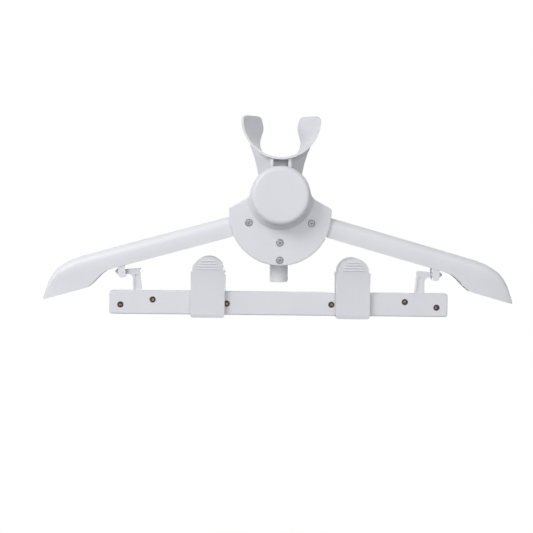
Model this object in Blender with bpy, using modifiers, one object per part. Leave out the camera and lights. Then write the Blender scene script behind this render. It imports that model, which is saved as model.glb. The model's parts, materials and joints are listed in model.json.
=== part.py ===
"""Folding hanger head of an upright garment steamer.

Lengths are in metres, +Z is up and the front faces -Y. The origin is the centre of the spigot's lower end.
A hub carries a cradle for the steam head, a push button and two folding arms. The arms' lugs carry a trouser
bar on two pins, and two sprung clips slide along the bar.
"""

import math

import bmesh
import bpy
from mathutils import Matrix, Vector

# Clearances and counts that every piece shares
SEAT_GAP = 0.0003
RUN_GAP = 0.0004
OVERRUN = 0.001
MERGE = 0.00001
ROUND_STEPS = 20
SMALL_STEPS = 12
ARC_STEPS = 4
BEVEL_STEPS = 2
SMOOTH_ANGLE = math.radians(35)
LEFT, RIGHT = -1, 1
SIDE_NAMES = {LEFT: "left", RIGHT: "right"}

# Spigot: a plain pin that drops into the pole, with a flat tang clamped in the hub
SPIGOT_RADIUS = 0.0085
SPIGOT_SHOWING = 0.0158
SPIGOT_SOCKET = 0.0122
SPIGOT_BARREL_TOP = SPIGOT_SHOWING + SPIGOT_SOCKET
SPIGOT_RIM = 0.0012
TANG_HEIGHT = 0.0150
TANG_TOP = SPIGOT_BARREL_TOP + TANG_HEIGHT
TANG_HALF_WIDTH = 0.0078
TANG_THICKNESS = 0.0090

# Hub: a round plate whose shoulders rise to a collar round the button
HUB_RADIUS = 0.0456
HUB_CENTRE_Z = SPIGOT_SHOWING + HUB_RADIUS
SHOULDER_HEIGHT_SHARE = 0.11404
SHOULDER_Z = HUB_CENTRE_Z + HUB_RADIUS * SHOULDER_HEIGHT_SHARE
SHOULDER_RISE = math.radians(29)
SHOULDER_ROUND = 0.0022
COLLAR_RADIUS_SHARE = 0.59211
COLLAR_RADIUS = HUB_RADIUS * COLLAR_RADIUS_SHARE
COLLAR_WALL = 0.0014
COLLAR_INSET = 0.0004
COLLAR_PROUD = 0.0085
COLLAR_SKIRT = 0.0032
COLLAR_TRIM = 0.0009
COLLAR_SKIRT_FOOT = 0.0012
COLLAR_SKIRT_RISE = 0.0054
COLLAR_HEIGHT_SHARE = 0.35965
COLLAR_CENTRE_Z = HUB_CENTRE_Z + HUB_RADIUS * COLLAR_HEIGHT_SHARE
NECK_ROUND_SHARE = 0.22
NECK_ROUND = HUB_RADIUS * NECK_ROUND_SHARE
COLLAR_MEET = math.radians(12)
PLATE_FRONT_Y = -0.0280
PLATE_THICKNESS = 0.0026
PLATE_EDGE = 0.0013
REAR_Y = 0.0125
REAR_EDGE = 0.0022
SHELL_WALL = 0.0024
REAR_STEP = 0.0007
SHOULDER_BLOCK_STEP = 0.0009
POST_RADIUS = 0.0040
SHOULDER_POST_RADIUS = 0.0065
HUB_SCREW_SINK = 0.0034
HUB_SCREW_SINK_DEPTH = 0.0014
HUB_SCREW_HEAD = 0.0030
HUB_SCREW_HEAD_DEPTH = 0.0010
HUB_SCREW_SHANK = 0.0012
HUB_SCREW_LENGTH = 0.0120
STEM_BOSS_RADIUS = 0.0062
STEM_BOSS_PROUD = 0.0020

# Arms: open-bottomed shells, described along their own slope from the pivot
PIVOT_ACROSS_SHARE = 0.60746
PIVOT_DROP_SHARE = 0.16886
PIVOT_X = HUB_RADIUS * PIVOT_ACROSS_SHARE
PIVOT_Z = HUB_CENTRE_Z - HUB_RADIUS * PIVOT_DROP_SHARE
ARM_SLOPE = math.radians(15.6)
ARM_LENGTH = 0.1943
ARM_HEIGHT = 0.0180
ARM_TOP_SHARE = 0.5444
ARM_LOWER_SHARE = 0.4560
ARM_ABOVE_AXIS = ARM_HEIGHT * ARM_TOP_SHARE
ARM_DEPTH = 0.0155
ARM_WALL = 0.0022
ARM_CROWN = 0.0068
KNUCKLE_BORE_RADIUS = POST_RADIUS + SEAT_GAP
KNUCKLE_LENGTH = 0.0220
ARM_CROWN_SHARES = (0.45, 0.90)
ARM_RIB = 0.0016
ARM_RIB_HEIGHT = ARM_HEIGHT / 2

# Places along the arm, where 0 is its pivot, 1 its lug and 2 its tip, then its top and bottom there as
# shares of its height, and its half depth as a share of its depth
ARM_STATION_SHARES = (
    (0.0333, 0.544, -0.456, 0.5005),
    (0.8666, 0.544, -0.456, 0.5005),
    (1.1623, 0.540, -0.456, 0.5005),
    (1.2248, 0.538, -0.478, 0.5005),
    (1.2899, 0.536, -0.590, 0.5005),
    (1.3549, 0.537, -0.760, 0.5005),
    (1.4149, 0.540, -0.915, 0.5005),
    (1.4799, 0.535, -1.030, 0.4994),
    (1.5799, 0.488, -1.042, 0.4924),
    (1.6699, 0.395, -1.042, 0.4761),
    (1.7475, 0.270, -1.042, 0.4506),
    (1.8200, 0.060, -1.042, 0.4088),
    (1.8900, -0.240, -1.042, 0.3484),
    (1.9550, -0.660, -1.042, 0.2578),
    (2.0000, -0.950, -1.042, 0.1277),
)
ARM_RIB_SHARES = (0.433, 0.700, 1.600)

# Lugs under the arms, and the pins that hang in them
BAR_LENGTH = 0.3020
LUG_FROM_BAR_END = 0.0110
LUG_X = BAR_LENGTH / 2 - LUG_FROM_BAR_END
LUG_ALONG = (LUG_X - PIVOT_X) / math.cos(ARM_SLOPE)
LUG_WIDTH = 0.0064
LUG_DEPTH = 0.0124
PIN_BELOW_ARM = 0.00492
ARM_DROP_TO_LUG = LUG_ALONG * math.sin(ARM_SLOPE) + ARM_HEIGHT * ARM_LOWER_SHARE / math.cos(ARM_SLOPE)
PIN_Z = PIVOT_Z - ARM_DROP_TO_LUG - PIN_BELOW_ARM
LUG_ABOVE_PIN = 0.0111
LUG_TOP = PIN_Z + LUG_ABOVE_PIN
LUG_ROUND_BELOW_PIN = 0.0022
PIN_RADIUS = 0.0022
PIN_SHANK_RADIUS = 0.0011
PIN_SHANK_LENGTH = 0.0085
PIN_BARB_RADIUS = 0.0026
PIN_BARB_FOOT = 0.0007
PIN_TIP_RADIUS = 0.0006
PIN_TIP_LENGTH = 0.0030

# Trouser bar: two trays screwed face to face
BAR_HEIGHT = 0.0208
BAR_DEPTH = 0.0100
BAR_BELOW_PIN = 0.0167
BAR_TOP = PIN_Z - BAR_BELOW_PIN
BAR_BOTTOM = BAR_TOP - BAR_HEIGHT
BAR_WALL = 0.0023
BAR_CORNER = 0.0020
BAR_EDGE = 0.0008
BAR_SCREW_SINK = 0.0026
BAR_SCREW_SINK_DEPTH = 0.0014
BAR_SCREW_HEAD = 0.0021
BAR_SCREW_HEAD_DEPTH = 0.0008
BAR_SCREW_SHANK = 0.0008
BAR_SCREW_LENGTH = 0.0055
BAR_POST_RADIUS = 0.0024
BAR_MIDDLE_SCREW_SHARE = 0.15464

# Brackets: a channelled leg that stands on the bar and turns outwards to its pin
BRACKET_THICKNESS = 0.0044
LEG_FROM_LUG = 0.0185
LEG_INNER_X = LUG_X - LEG_FROM_LUG
LEG_WIDTH = 0.0090
LEG_TOP_INSET = 0.0024
BRACKET_ABOVE_PIN = 0.0033
BRACKET_TOP = PIN_Z + BRACKET_ABOVE_PIN
BRACKET_ARM_HALF_HEIGHT = 0.0023
BRACKET_ARM_SHORT_OF_LUG = 0.0011
BRACKET_ARM_END = LUG_X - LUG_WIDTH / 2 - BRACKET_ARM_SHORT_OF_LUG
BRACKET_INNER_ROUND = 0.0042
BRACKET_CORNER = 0.0010
FOOT_INWARD = 0.0130
FOOT_INNER_X = LEG_INNER_X - FOOT_INWARD
FOOT_OUTWARD = 0.0241
FOOT_OUTER_X = LEG_INNER_X + FOOT_OUTWARD
FOOT_CORNER = 0.0015
FOOT_SCREW_INSET = 0.0040
FOOT_SCREW_OUTSET = 0.0046
BAR_SCREW_X = (
    BAR_LENGTH * BAR_MIDDLE_SCREW_SHARE, FOOT_INNER_X + FOOT_SCREW_INSET, FOOT_OUTER_X - FOOT_SCREW_OUTSET)
BAR_SCREW_DROP = (0.0108, 0.0078, 0.0125)
CHANNEL_RIM = 0.0016
CHANNEL_DEPTH = 0.0009

# Clips: a slider on the bar carries an axle, two leaves and a torsion spring
CLIP_PLACE_SHARES = (-0.21026, 0.21722)
CLIP_X = tuple(BAR_LENGTH * share for share in CLIP_PLACE_SHARES)
LEAF_WIDTH = 0.0302
LEAF_THICKNESS = 0.0025
LEAF_ABOVE_BAR = 0.0313
LEAF_TOP = BAR_TOP + LEAF_ABOVE_BAR
TAB_STEP_ABOVE_BAR = 0.0176
TAB_STEP_Z = BAR_TOP + TAB_STEP_ABOVE_BAR
TAB_RADIUS = 0.0142
TAB_END = math.radians(12)
LEAF_STEP_ROUND = 0.0006
LEAF_FOOT_ROUND = 0.0022
LEAF_BELOW_BAR = 0.0024
LEAF_BOTTOM = BAR_BOTTOM - LEAF_BELOW_BAR
LEAF_LIP = 0.0020
LEAF_TOE_RISE = 0.0036
LEAF_TOE_DEPTH = 0.0008
LEAF_SPREAD = 0.0052
JAW_GAP = 0.0006
GRIP_RIB_RADIUS = 0.0006
GRIP_RIB_DROP = (0.0040, 0.0063, 0.0087, 0.0111)
GRIP_RIB_SHARES = (0.36, 0.54, 0.62, 0.68)
AXLE_ABOVE_BAR = 0.0062
AXLE_RADIUS = 0.0014
AXLE_LENGTH = 0.0262
EAR_RADIUS = 0.0030
EAR_WIDTH = 0.0018
FRONT_EAR_X = 0.0112
REAR_EAR_X = 0.0088
SLIDER_LENGTH = 0.0240
SLIDER_WALL = 0.0014
SLIDER_SKIRT = 0.0085
SLIDER_POST_X = 0.0062
SLIDER_POST_WIDTH = 0.0020
SLIDER_POST_RADIUS = 0.0027
COIL_TURNS = 4
COIL_POINTS = 10
COIL_RADIUS = 0.0024
COIL_WIRE = 0.00040
COIL_PITCH = 0.00125
COIL_LEG_RISE = 0.0100

# Button: a cup that slides in the collar, on a stem that carries the lock plate
BUTTON_RADIUS = COLLAR_RADIUS - COLLAR_INSET - COLLAR_WALL - RUN_GAP
BUTTON_FRONT_Y = -0.0480
BUTTON_DEPTH = 0.0152
BUTTON_WALL = 0.0020
BUTTON_EDGE = 0.0026
STEM_RADIUS = 0.0040
STEM_BORE = 0.0013
STEM_BORE_DEPTH = 0.0090
BUTTON_TRAVEL = 0.0040
LOCK_PLATE_THICKNESS = 0.0024
LOCK_DISC_RADIUS = 0.0090
TONGUE_WIDTH = 0.0042
LOCK_SCREW_HEAD = 0.0028
LOCK_SCREW_HEAD_DEPTH = 0.0016
LOCK_SCREW_SHANK = 0.0010
LOCK_SCREW_LENGTH = 0.0080
SPRING_TURNS = 6
SPRING_POINTS = 10
SPRING_RADIUS = 0.0082
SPRING_WIRE = 0.0006

# Cradle: a flared saddle on a wedge-shaped neck
CRADLE_FRONT_Y = -0.0240
CRADLE_BACK_Y = 0.0100
RIM_RADIUS_SHARE = 0.73904
RIM_RADIUS = HUB_RADIUS * RIM_RADIUS_SHARE
RIM_FLOOR_ABOVE_COLLAR = 0.0349
RIM_FLOOR_Z = COLLAR_CENTRE_Z + RIM_FLOOR_ABOVE_COLLAR
RIM_CENTRE_Z = RIM_FLOOR_Z + RIM_RADIUS
RIM_END = math.radians(5)
SEAT_WIDTH_SHARE = 0.40570
SEAT_HALF_WIDTH = HUB_RADIUS * SEAT_WIDTH_SHARE
SEAT_BELOW_RIM = 0.0019
SEAT_BOTTOM_Z = RIM_FLOOR_Z - SEAT_BELOW_RIM
EAR_ABOVE_RIM_CENTRE = 0.0056
EAR_TOP_Z = RIM_CENTRE_Z + EAR_ABOVE_RIM_CENTRE
CRADLE_WALL = 0.0019
CRADLE_SOLE = 0.0003
EAR_ROUND = 0.0032
NECK_BOX_HALF = 0.0094
NECK_FRONT_Y = -0.0220
NECK_BOX_DEPTH = 0.0030
NECK_SIDE_Y = 0.0010
NECK_BACK_Y = 0.0080
NECK_BOTTOM_ABOVE_COLLAR = 0.0152
NECK_BOTTOM_Z = COLLAR_CENTRE_Z + NECK_BOTTOM_ABOVE_COLLAR
NECK_TOP_ABOVE_COLLAR = 0.0474
NECK_TOP_Z = COLLAR_CENTRE_Z + NECK_TOP_ABOVE_COLLAR
RECESS_HALF = 0.0067
RECESS_BELOW_RIM = 0.0020
RECESS_TOP_Z = RIM_FLOOR_Z - RECESS_BELOW_RIM
RECESS_DEPTH = 0.0100
FOOT_HALF = 0.0150
FOOT_BELOW_COLLAR = 0.0078
FOOT_BOTTOM_Z = COLLAR_CENTRE_Z - FOOT_BELOW_COLLAR
FOOT_FRONT_Y = -0.0070
CRADLE_SCREW_X = 0.0090
CRADLE_SCREW_ABOVE_COLLAR = 0.0082
CRADLE_SCREW_Z = COLLAR_CENTRE_Z + CRADLE_SCREW_ABOVE_COLLAR
CRADLE_SCREW_SINK = 0.0034
CRADLE_SCREW_SINK_DEPTH = 0.0011
CRADLE_SCREW_HEAD_DEPTH = 0.0007
CRADLE_SCREW_LENGTH = 0.0100

# The seat's half width and height, from the middle of its floor up to the ear's top, as shares
SEAT_CURVE_SHARES = (
    (0.000, 0.000),
    (0.350, 0.020),
    (0.640, 0.085),
    (0.860, 0.190),
    (0.975, 0.310),
    (1.000, 0.430),
    (0.930, 0.570),
    (0.845, 0.700),
    (0.870, 0.850),
    (0.950, 1.000),
)
# Places through the cradle's depth, from its front rim to its back, and the ear's rounding there
CRADLE_STATION_SHARES = (
    (0.00, 1.00), (0.07, 0.38), (0.20, 0.00), (0.45, 0.00), (0.72, 0.00), (0.92, 0.22), (1.00, 0.70))
# The neck's heights from its foot to the saddle, and its half width behind as shares of the seat's own
NECK_STATION_SHARES = ((0.00, 1.060), (0.21, 1.100), (0.46, 1.190), (0.71, 1.320), (1.00, 1.520))

# Places that follow from the sizes above
PLATE_BACK_Y = PLATE_FRONT_Y + PLATE_THICKNESS
ARM_FRONT_Y = PLATE_BACK_Y + RUN_GAP
ARM_MIDDLE_Y = ARM_FRONT_Y + ARM_DEPTH / 2
ARM_BACK_Y = ARM_FRONT_Y + ARM_DEPTH
BEARING_Y = ARM_BACK_Y + RUN_GAP
POST_FRONT_Y = PLATE_BACK_Y + SEAT_GAP
KNUCKLE_RADIUS = ARM_ABOVE_AXIS
SLOT_HALF = BRACKET_THICKNESS / 2 + SEAT_GAP
AXLE_Z = BAR_TOP + AXLE_ABOVE_BAR
HUB_POSTS = (
    (-PIVOT_X, PIVOT_Z),
    (PIVOT_X, PIVOT_Z),
    (0.0, TANG_TOP - TANG_HALF_WIDTH + OVERRUN),
    (0.0, SPIGOT_BARREL_TOP - TANG_HALF_WIDTH + OVERRUN / 2),
)

AXES = {"X": Vector((1, 0, 0)), "Y": Vector((0, 1, 0)), "Z": Vector((0, 0, 1))}
# How a flat drawing lies before it is given thickness along the axis named
DRAWING_FRAMES = {
    "X": Matrix(((0, 0, 1), (1, 0, 0), (0, 1, 0))),
    "Y": Matrix(((1, 0, 0), (0, 0, -1), (0, 1, 0))),
    "Z": Matrix.Identity(3),
}
# How a turned form lies: its own height runs along the axis named
TURNING_FRAMES = {
    "X": Matrix(((0, 0, 1), (1, 0, 0), (0, 1, 0))),
    "Y": Matrix(((1, 0, 0), (0, 0, 1), (0, -1, 0))),
    "Z": Matrix.Identity(3),
}


def new_collection(name):
    group = bpy.data.collections.new(name)
    bpy.context.scene.collection.children.link(group)
    return group


for old in list(bpy.data.objects):
    bpy.data.objects.remove(old, do_unlink=True)
PARTS = new_collection("folding hanger head")
BLANKS = new_collection("cutters")


def principled(name, colour, roughness, metallic=0.0):
    """A plain material for one kind of surface."""
    material = bpy.data.materials.new(name)
    material.use_nodes = True
    shader = material.node_tree.nodes["Principled BSDF"]
    shader.inputs["Base Color"].default_value = (*colour, 1.0)
    shader.inputs["Roughness"].default_value = roughness
    shader.inputs["Metallic"].default_value = metallic
    material.diffuse_color = (*colour, 1.0)
    return material


HOUSING = principled("housing plastic", (0.80, 0.80, 0.84), 0.38)
BUTTON = principled("button plastic", (0.78, 0.79, 0.83), 0.34)
INNER = principled("inner plastic", (0.62, 0.62, 0.65), 0.45)
ZINC = principled("zinc screw", (0.66, 0.66, 0.68), 0.35, 1.0)
BRASS = principled("brass screw", (0.62, 0.46, 0.24), 0.35, 1.0)
STEEL = principled("spring steel", (0.55, 0.56, 0.58), 0.30, 1.0)


def evaluated_mesh(blank):
    """The blank's shape as the viewport shows it, in world space."""
    bpy.context.view_layer.update()
    shown = blank.evaluated_get(bpy.context.evaluated_depsgraph_get())
    mesh = bpy.data.meshes.new_from_object(shown)
    mesh.transform(blank.matrix_world)
    return mesh


def as_solid(blank, flat_angle=0.0):
    """Replaces a curve or a live blank by a welded mesh with its faces pointing out."""
    mesh = evaluated_mesh(blank)
    form = bmesh.new()
    form.from_mesh(mesh)
    bmesh.ops.remove_doubles(form, verts=form.verts, dist=MERGE)
    if flat_angle:
        bmesh.ops.dissolve_limit(form, angle_limit=flat_angle, verts=form.verts, edges=form.edges)
    bmesh.ops.recalc_face_normals(form, faces=form.faces)
    form.to_mesh(mesh)
    form.free()
    bpy.data.objects.remove(blank, do_unlink=True)
    return blank_from(mesh)


def blank_from(mesh):
    blank = bpy.data.objects.new("blank", mesh)
    blank.hide_render = True
    blank.display_type = "WIRE"
    BLANKS.objects.link(blank)
    return blank


def arc(across, up, radius, start, end, steps=ARC_STEPS):
    """Points on an arc about a centre, from one angle to another, in radians."""
    turns = [start + (end - start) * step / steps for step in range(steps + 1)]
    return [(across + radius * math.cos(turn), up + radius * math.sin(turn)) for turn in turns]


def filleted(corners, steps=ARC_STEPS):
    """A closed outline whose corners, given as across, up and radius, are rounded."""
    outline = []
    for index, (across, up, radius) in enumerate(corners):
        corner = Vector((across, up))
        before = Vector(corners[index - 1][:2]) - corner
        after = Vector(corners[(index + 1) % len(corners)][:2]) - corner
        outline += fillet(corner, before, after, radius, steps)
    return outline


def fillet(corner, before, after, radius, steps=ARC_STEPS):
    """The rounding of one corner between the directions back and on from it."""
    if not radius:
        return [tuple(corner)]
    half = before.angle(after) / 2
    reach = radius / math.tan(half)
    first = corner + before.normalized() * reach
    last = corner + after.normalized() * reach
    middle = corner + (before.normalized() + after.normalized()).normalized() * (radius / math.sin(half))
    start, end = first - middle, last - middle
    points = []
    for step in range(steps + 1):
        spoke = start.lerp(end, step / steps).normalized() * radius
        points.append(tuple(middle + spoke))
    return points


def mirrored(outline, side):
    """The outline on the side named, -1 for left and 1 for right."""
    return [(side * across, up) for across, up in outline]


def extrusion(outline, low, high, axis):
    """A flat outline given thickness from one place to another along an axis."""
    curve = bpy.data.curves.new("outline", "CURVE")
    curve.dimensions = "2D"
    curve.fill_mode = "BOTH"
    curve.extrude = abs(high - low) / 2
    spline = curve.splines.new("POLY")
    spline.points.add(len(outline) - 1)
    for point, (across, up) in zip(spline.points, outline):
        point.co = (across, up, 0, 1)
    spline.use_cyclic_u = True
    blank = bpy.data.objects.new("outline", curve)
    BLANKS.objects.link(blank)
    blank.matrix_world = Matrix.Translation(AXES[axis] * (low + high) / 2) @ DRAWING_FRAMES[axis].to_4x4()
    return as_solid(blank, flat_angle=math.radians(1))


def turned(profile, centre, axis, steps=ROUND_STEPS, ring=False):
    """A profile of radius and height turned round an axis through the centre."""
    count = len(profile)
    edges = [(index, index + 1) for index in range(count - 1)]
    if ring:
        edges.append((count - 1, 0))
    mesh = bpy.data.meshes.new("profile")
    mesh.from_pydata([(radius, 0, height) for radius, height in profile], edges, [])
    blank = blank_from(mesh)
    blank.matrix_world = Matrix.Translation(centre) @ TURNING_FRAMES[axis].to_4x4()
    screw = blank.modifiers.new("turn", "SCREW")
    screw.axis = "Z"
    screw.angle = 2 * math.pi
    screw.steps = steps
    screw.render_steps = steps
    screw.use_merge_vertices = True
    screw.merge_threshold = MERGE
    return as_solid(blank)


def cylinder(radius, low, high, centre, axis, steps=ROUND_STEPS):
    """A plain round bar from one place to another along an axis; centre gives the other two places."""
    form = bmesh.new()
    bmesh.ops.create_cone(
        form, cap_ends=True, segments=steps, radius1=radius, radius2=radius, depth=abs(high - low))
    mesh = bpy.data.meshes.new("round bar")
    form.to_mesh(mesh)
    form.free()
    middle = Vector(centre)
    middle["XYZ".index(axis)] = (low + high) / 2
    mesh.transform(Matrix.Translation(middle) @ TURNING_FRAMES[axis].to_4x4())
    return blank_from(mesh)


def box(low, high):
    """A block between two opposite corners."""
    form = bmesh.new()
    bmesh.ops.create_cube(form, size=1)
    low, high = Vector(low), Vector(high)
    bmesh.ops.scale(form, vec=high - low, verts=form.verts)
    bmesh.ops.translate(form, vec=(high + low) / 2, verts=form.verts)
    mesh = bpy.data.meshes.new("block")
    form.to_mesh(mesh)
    form.free()
    return blank_from(mesh)


def loft(sections):
    """A closed body through loops of equal count, capped at both ends."""
    form = bmesh.new()
    loops = [[form.verts.new(point) for point in section] for section in sections]
    count = len(loops[0])
    for near, far in zip(loops, loops[1:]):
        for index in range(count):
            following = (index + 1) % count
            form.faces.new((near[index], near[following], far[following], far[index]))
    form.faces.new(loops[0])
    form.faces.new(loops[-1])
    bmesh.ops.recalc_face_normals(form, faces=form.faces)
    mesh = bpy.data.meshes.new("loft")
    form.to_mesh(mesh)
    form.free()
    return blank_from(mesh)


def tube(points, radius, resolution=1):
    """One unbroken wire along the points, with closed ends."""
    curve = bpy.data.curves.new("wire", "CURVE")
    curve.dimensions = "3D"
    curve.bevel_depth = radius
    curve.bevel_resolution = resolution
    curve.use_fill_caps = True
    spline = curve.splines.new("POLY")
    spline.points.add(len(points) - 1)
    for target, point in zip(spline.points, points):
        target.co = (*point, 1)
    blank = bpy.data.objects.new("wire", curve)
    BLANKS.objects.link(blank)
    return as_solid(blank)


def combine(body, other, operation):
    """Cuts the other blank from the body, joins it on, or keeps what both share."""
    step = body.modifiers.new(operation.lower(), "BOOLEAN")
    step.operation = operation
    step.solver = "EXACT"
    step.object = other
    return body


def cut(body, *others):
    for other in others:
        combine(body, other, "DIFFERENCE")
    return body


def join(body, *others):
    for other in others:
        combine(body, other, "UNION")
    return body


def eased(body, width, chosen, steps=BEVEL_STEPS):
    """Rounds the edges whose two ends are both chosen, and settles the shape."""
    mesh = body.data
    weights = mesh.attributes.new("bevel_weight_edge", "FLOAT", "EDGE")
    for edge in mesh.edges:
        ends = [mesh.vertices[index].co for index in edge.vertices]
        weights.data[edge.index].value = float(all(chosen(end) for end in ends))
    bevel = body.modifiers.new("ease", "BEVEL")
    bevel.limit_method = "WEIGHT"
    bevel.width = width
    bevel.segments = steps
    bevel.use_clamp_overlap = False
    return as_solid(body)


def joint_empty(name, place):
    """An empty on a joint's axis, which carries the pieces that move there."""
    empty = bpy.data.objects.new(name, None)
    empty.location = place
    PARTS.objects.link(empty)
    return empty


def finish(name, body, material, carrier):
    """Makes a blank into a named piece, on what carries it."""
    body.name = name
    body.data.name = name
    body.hide_render = False
    body.display_type = "TEXTURED"
    body.data.materials.clear()
    body.data.materials.append(material)
    body.data.shade_smooth()
    body.data.set_sharp_from_angle(angle=SMOOTH_ANGLE)
    BLANKS.objects.unlink(body)
    PARTS.objects.link(body)
    bpy.context.view_layer.update()
    body.parent = carrier
    body.matrix_parent_inverse = carrier.matrix_world.inverted()
    return body


def screw(centre, axis, outward, head_radius, head_depth, shank_radius, length):
    """A pan head screw: centre is under its head, and outward is the way its head faces, 1 or -1."""
    crown = head_depth / 3
    profile = [
        (0, outward * head_depth),
        (head_radius - crown, outward * head_depth),
        (head_radius, outward * (head_depth - crown)),
        (head_radius, 0),
        (shank_radius, 0),
        (shank_radius, -outward * (length - shank_radius)),
        (0, -outward * length),
    ]
    return turned(profile, centre, axis, SMALL_STEPS)


def hub_outline(inset):
    """The hub's front outline, or one that lies inset from it all round."""
    radius = HUB_RADIUS - inset
    collar = COLLAR_RADIUS - inset
    slope = Vector((-math.cos(SHOULDER_RISE), math.sin(SHOULDER_RISE)))
    shoulder = Vector((HUB_RADIUS, SHOULDER_Z)) - Vector((slope.y, -slope.x)) * inset
    corner = shoulder + slope * ((radius - shoulder.x) / slope.x)
    spoke = Vector((math.cos(COLLAR_MEET), math.sin(COLLAR_MEET)))
    touch = Vector((0, COLLAR_CENTRE_Z)) + spoke * collar
    tangent = Vector((spoke.y, -spoke.x))
    along = (touch - corner).cross(tangent) / slope.cross(tangent)
    nook = corner + slope * along
    right = fillet(corner, Vector((0, -1)), slope, max(SHOULDER_ROUND - inset, SHELL_WALL / 4))
    right += fillet(nook, -slope, touch - nook, NECK_ROUND + inset)
    top = arc(0, COLLAR_CENTRE_Z, collar, COLLAR_MEET, math.pi - COLLAR_MEET, 3 * ARC_STEPS)
    left = [(-across, up) for across, up in reversed(right)]
    bottom = arc(0, HUB_CENTRE_Z, radius, math.pi, 2 * math.pi, 6 * ARC_STEPS)
    return right + top + left + bottom[1:-1]


def arm_place(side, along, above, depth):
    """World place of a point given along an arm, above its axis and off its middle plane."""
    across = PIVOT_X + along * math.cos(ARM_SLOPE) - above * -math.sin(ARM_SLOPE)
    up = PIVOT_Z - along * math.sin(ARM_SLOPE) + above * math.cos(ARM_SLOPE)
    return Vector((side * across, ARM_MIDDLE_Y + depth, up))


def arm_line_height(across, above):
    """Height of a line along the arm, a distance above its axis, at a place across the hub."""
    return PIVOT_Z + above / math.cos(ARM_SLOPE) - (abs(across) - PIVOT_X) * math.tan(ARM_SLOPE)


def make_spigot(carrier):
    """A closed pin with a flat tang above it, holed for the two middle hub posts."""
    rim = [
        (SPIGOT_RADIUS * math.cos(0), SPIGOT_BARREL_TOP),
        (SPIGOT_RADIUS, SPIGOT_RIM),
        (SPIGOT_RADIUS - SPIGOT_RIM * (1 - math.cos(math.pi / 4)), SPIGOT_RIM * (1 - math.sin(math.pi / 4))),
        (SPIGOT_RADIUS - SPIGOT_RIM, 0),
    ]
    body = turned([(0, SPIGOT_BARREL_TOP), *rim, (0, 0)], (0, 0, 0), "Z")
    half = TANG_THICKNESS / 2
    tang = box(
        (-TANG_HALF_WIDTH, -half, SPIGOT_BARREL_TOP - SPIGOT_RADIUS),
        (TANG_HALF_WIDTH, half, TANG_TOP))
    join(body, tang)
    for across, up in HUB_POSTS[2:]:
        reach = SPIGOT_RADIUS + OVERRUN
        cut(body, cylinder(POST_RADIUS + SEAT_GAP, -reach, reach, (across, 0, up), "Y"))
    return finish("pole_spigot", body, HOUSING, carrier)


def make_front_shell(carrier):
    """The front plate with the button's collar, its stem boss and four screw recesses."""
    plate = extrusion(hub_outline(0), PLATE_FRONT_Y, PLATE_BACK_Y, "Y")
    plate = eased(plate, PLATE_EDGE, lambda end: end.y < PLATE_FRONT_Y + MERGE)
    collar_front = PLATE_FRONT_Y - COLLAR_PROUD
    outer = COLLAR_RADIUS - COLLAR_INSET
    inner = outer - COLLAR_WALL
    collar = turned([
        (inner, PLATE_BACK_Y - PLATE_THICKNESS / 2),
        (outer + COLLAR_SKIRT, PLATE_BACK_Y - PLATE_THICKNESS / 2),
        (outer + COLLAR_SKIRT, PLATE_FRONT_Y - COLLAR_SKIRT_FOOT),
        (outer, PLATE_FRONT_Y - COLLAR_SKIRT_RISE),
        (outer, collar_front + COLLAR_WALL / 2),
        (outer - COLLAR_WALL / 3, collar_front),
        (inner, collar_front),
    ], (0, 0, COLLAR_CENTRE_Z), "Y", 2 * ROUND_STEPS, ring=True)
    reach = COLLAR_RADIUS + COLLAR_SKIRT
    combine(collar, extrusion(hub_outline(COLLAR_TRIM), PLATE_FRONT_Y - reach, PLATE_BACK_Y + reach, "Y"),
            "INTERSECT")
    boss = cylinder(
        STEM_BOSS_RADIUS, PLATE_FRONT_Y - STEM_BOSS_PROUD, PLATE_BACK_Y - PLATE_THICKNESS / 2,
        (0, 0, COLLAR_CENTRE_Z), "Y")
    join(plate, collar, boss)
    stem_hole = cylinder(
        STEM_RADIUS + SEAT_GAP, PLATE_FRONT_Y - STEM_BOSS_PROUD - OVERRUN, PLATE_BACK_Y + OVERRUN,
        (0, 0, COLLAR_CENTRE_Z), "Y")
    cut(plate, stem_hole)
    for across, up in HUB_POSTS:
        cut(plate, cylinder(
            HUB_SCREW_SINK, PLATE_FRONT_Y - OVERRUN, PLATE_FRONT_Y + HUB_SCREW_SINK_DEPTH,
            (across, 0, up), "Y"))
        cut(plate, cylinder(
            HUB_SCREW_SHANK + SEAT_GAP, PLATE_FRONT_Y - OVERRUN, PLATE_BACK_Y + OVERRUN,
            (across, 0, up), "Y", SMALL_STEPS))
    return finish("hub_front_shell", plate, HOUSING, carrier)


def shoulder_block(side):
    """The part of the rear shell above an arm, which closes the shoulder and stops the arm."""
    inner = KNUCKLE_RADIUS + TONGUE_WIDTH * 2
    stop = ARM_ABOVE_AXIS + RUN_GAP
    reach = HUB_RADIUS + OVERRUN
    outline = [
        (inner, arm_line_height(inner, stop)),
        (reach, arm_line_height(reach, stop)),
        (reach, COLLAR_CENTRE_Z + COLLAR_RADIUS),
        (inner, COLLAR_CENTRE_Z + COLLAR_RADIUS),
    ]
    block = extrusion(mirrored(outline, side), POST_FRONT_Y, BEARING_Y + SHELL_WALL, "Y")
    profile = extrusion(
        hub_outline(SHOULDER_BLOCK_STEP), POST_FRONT_Y - OVERRUN, BEARING_Y + REAR_EDGE * 2, "Y")
    return combine(block, profile, "INTERSECT")


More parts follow.
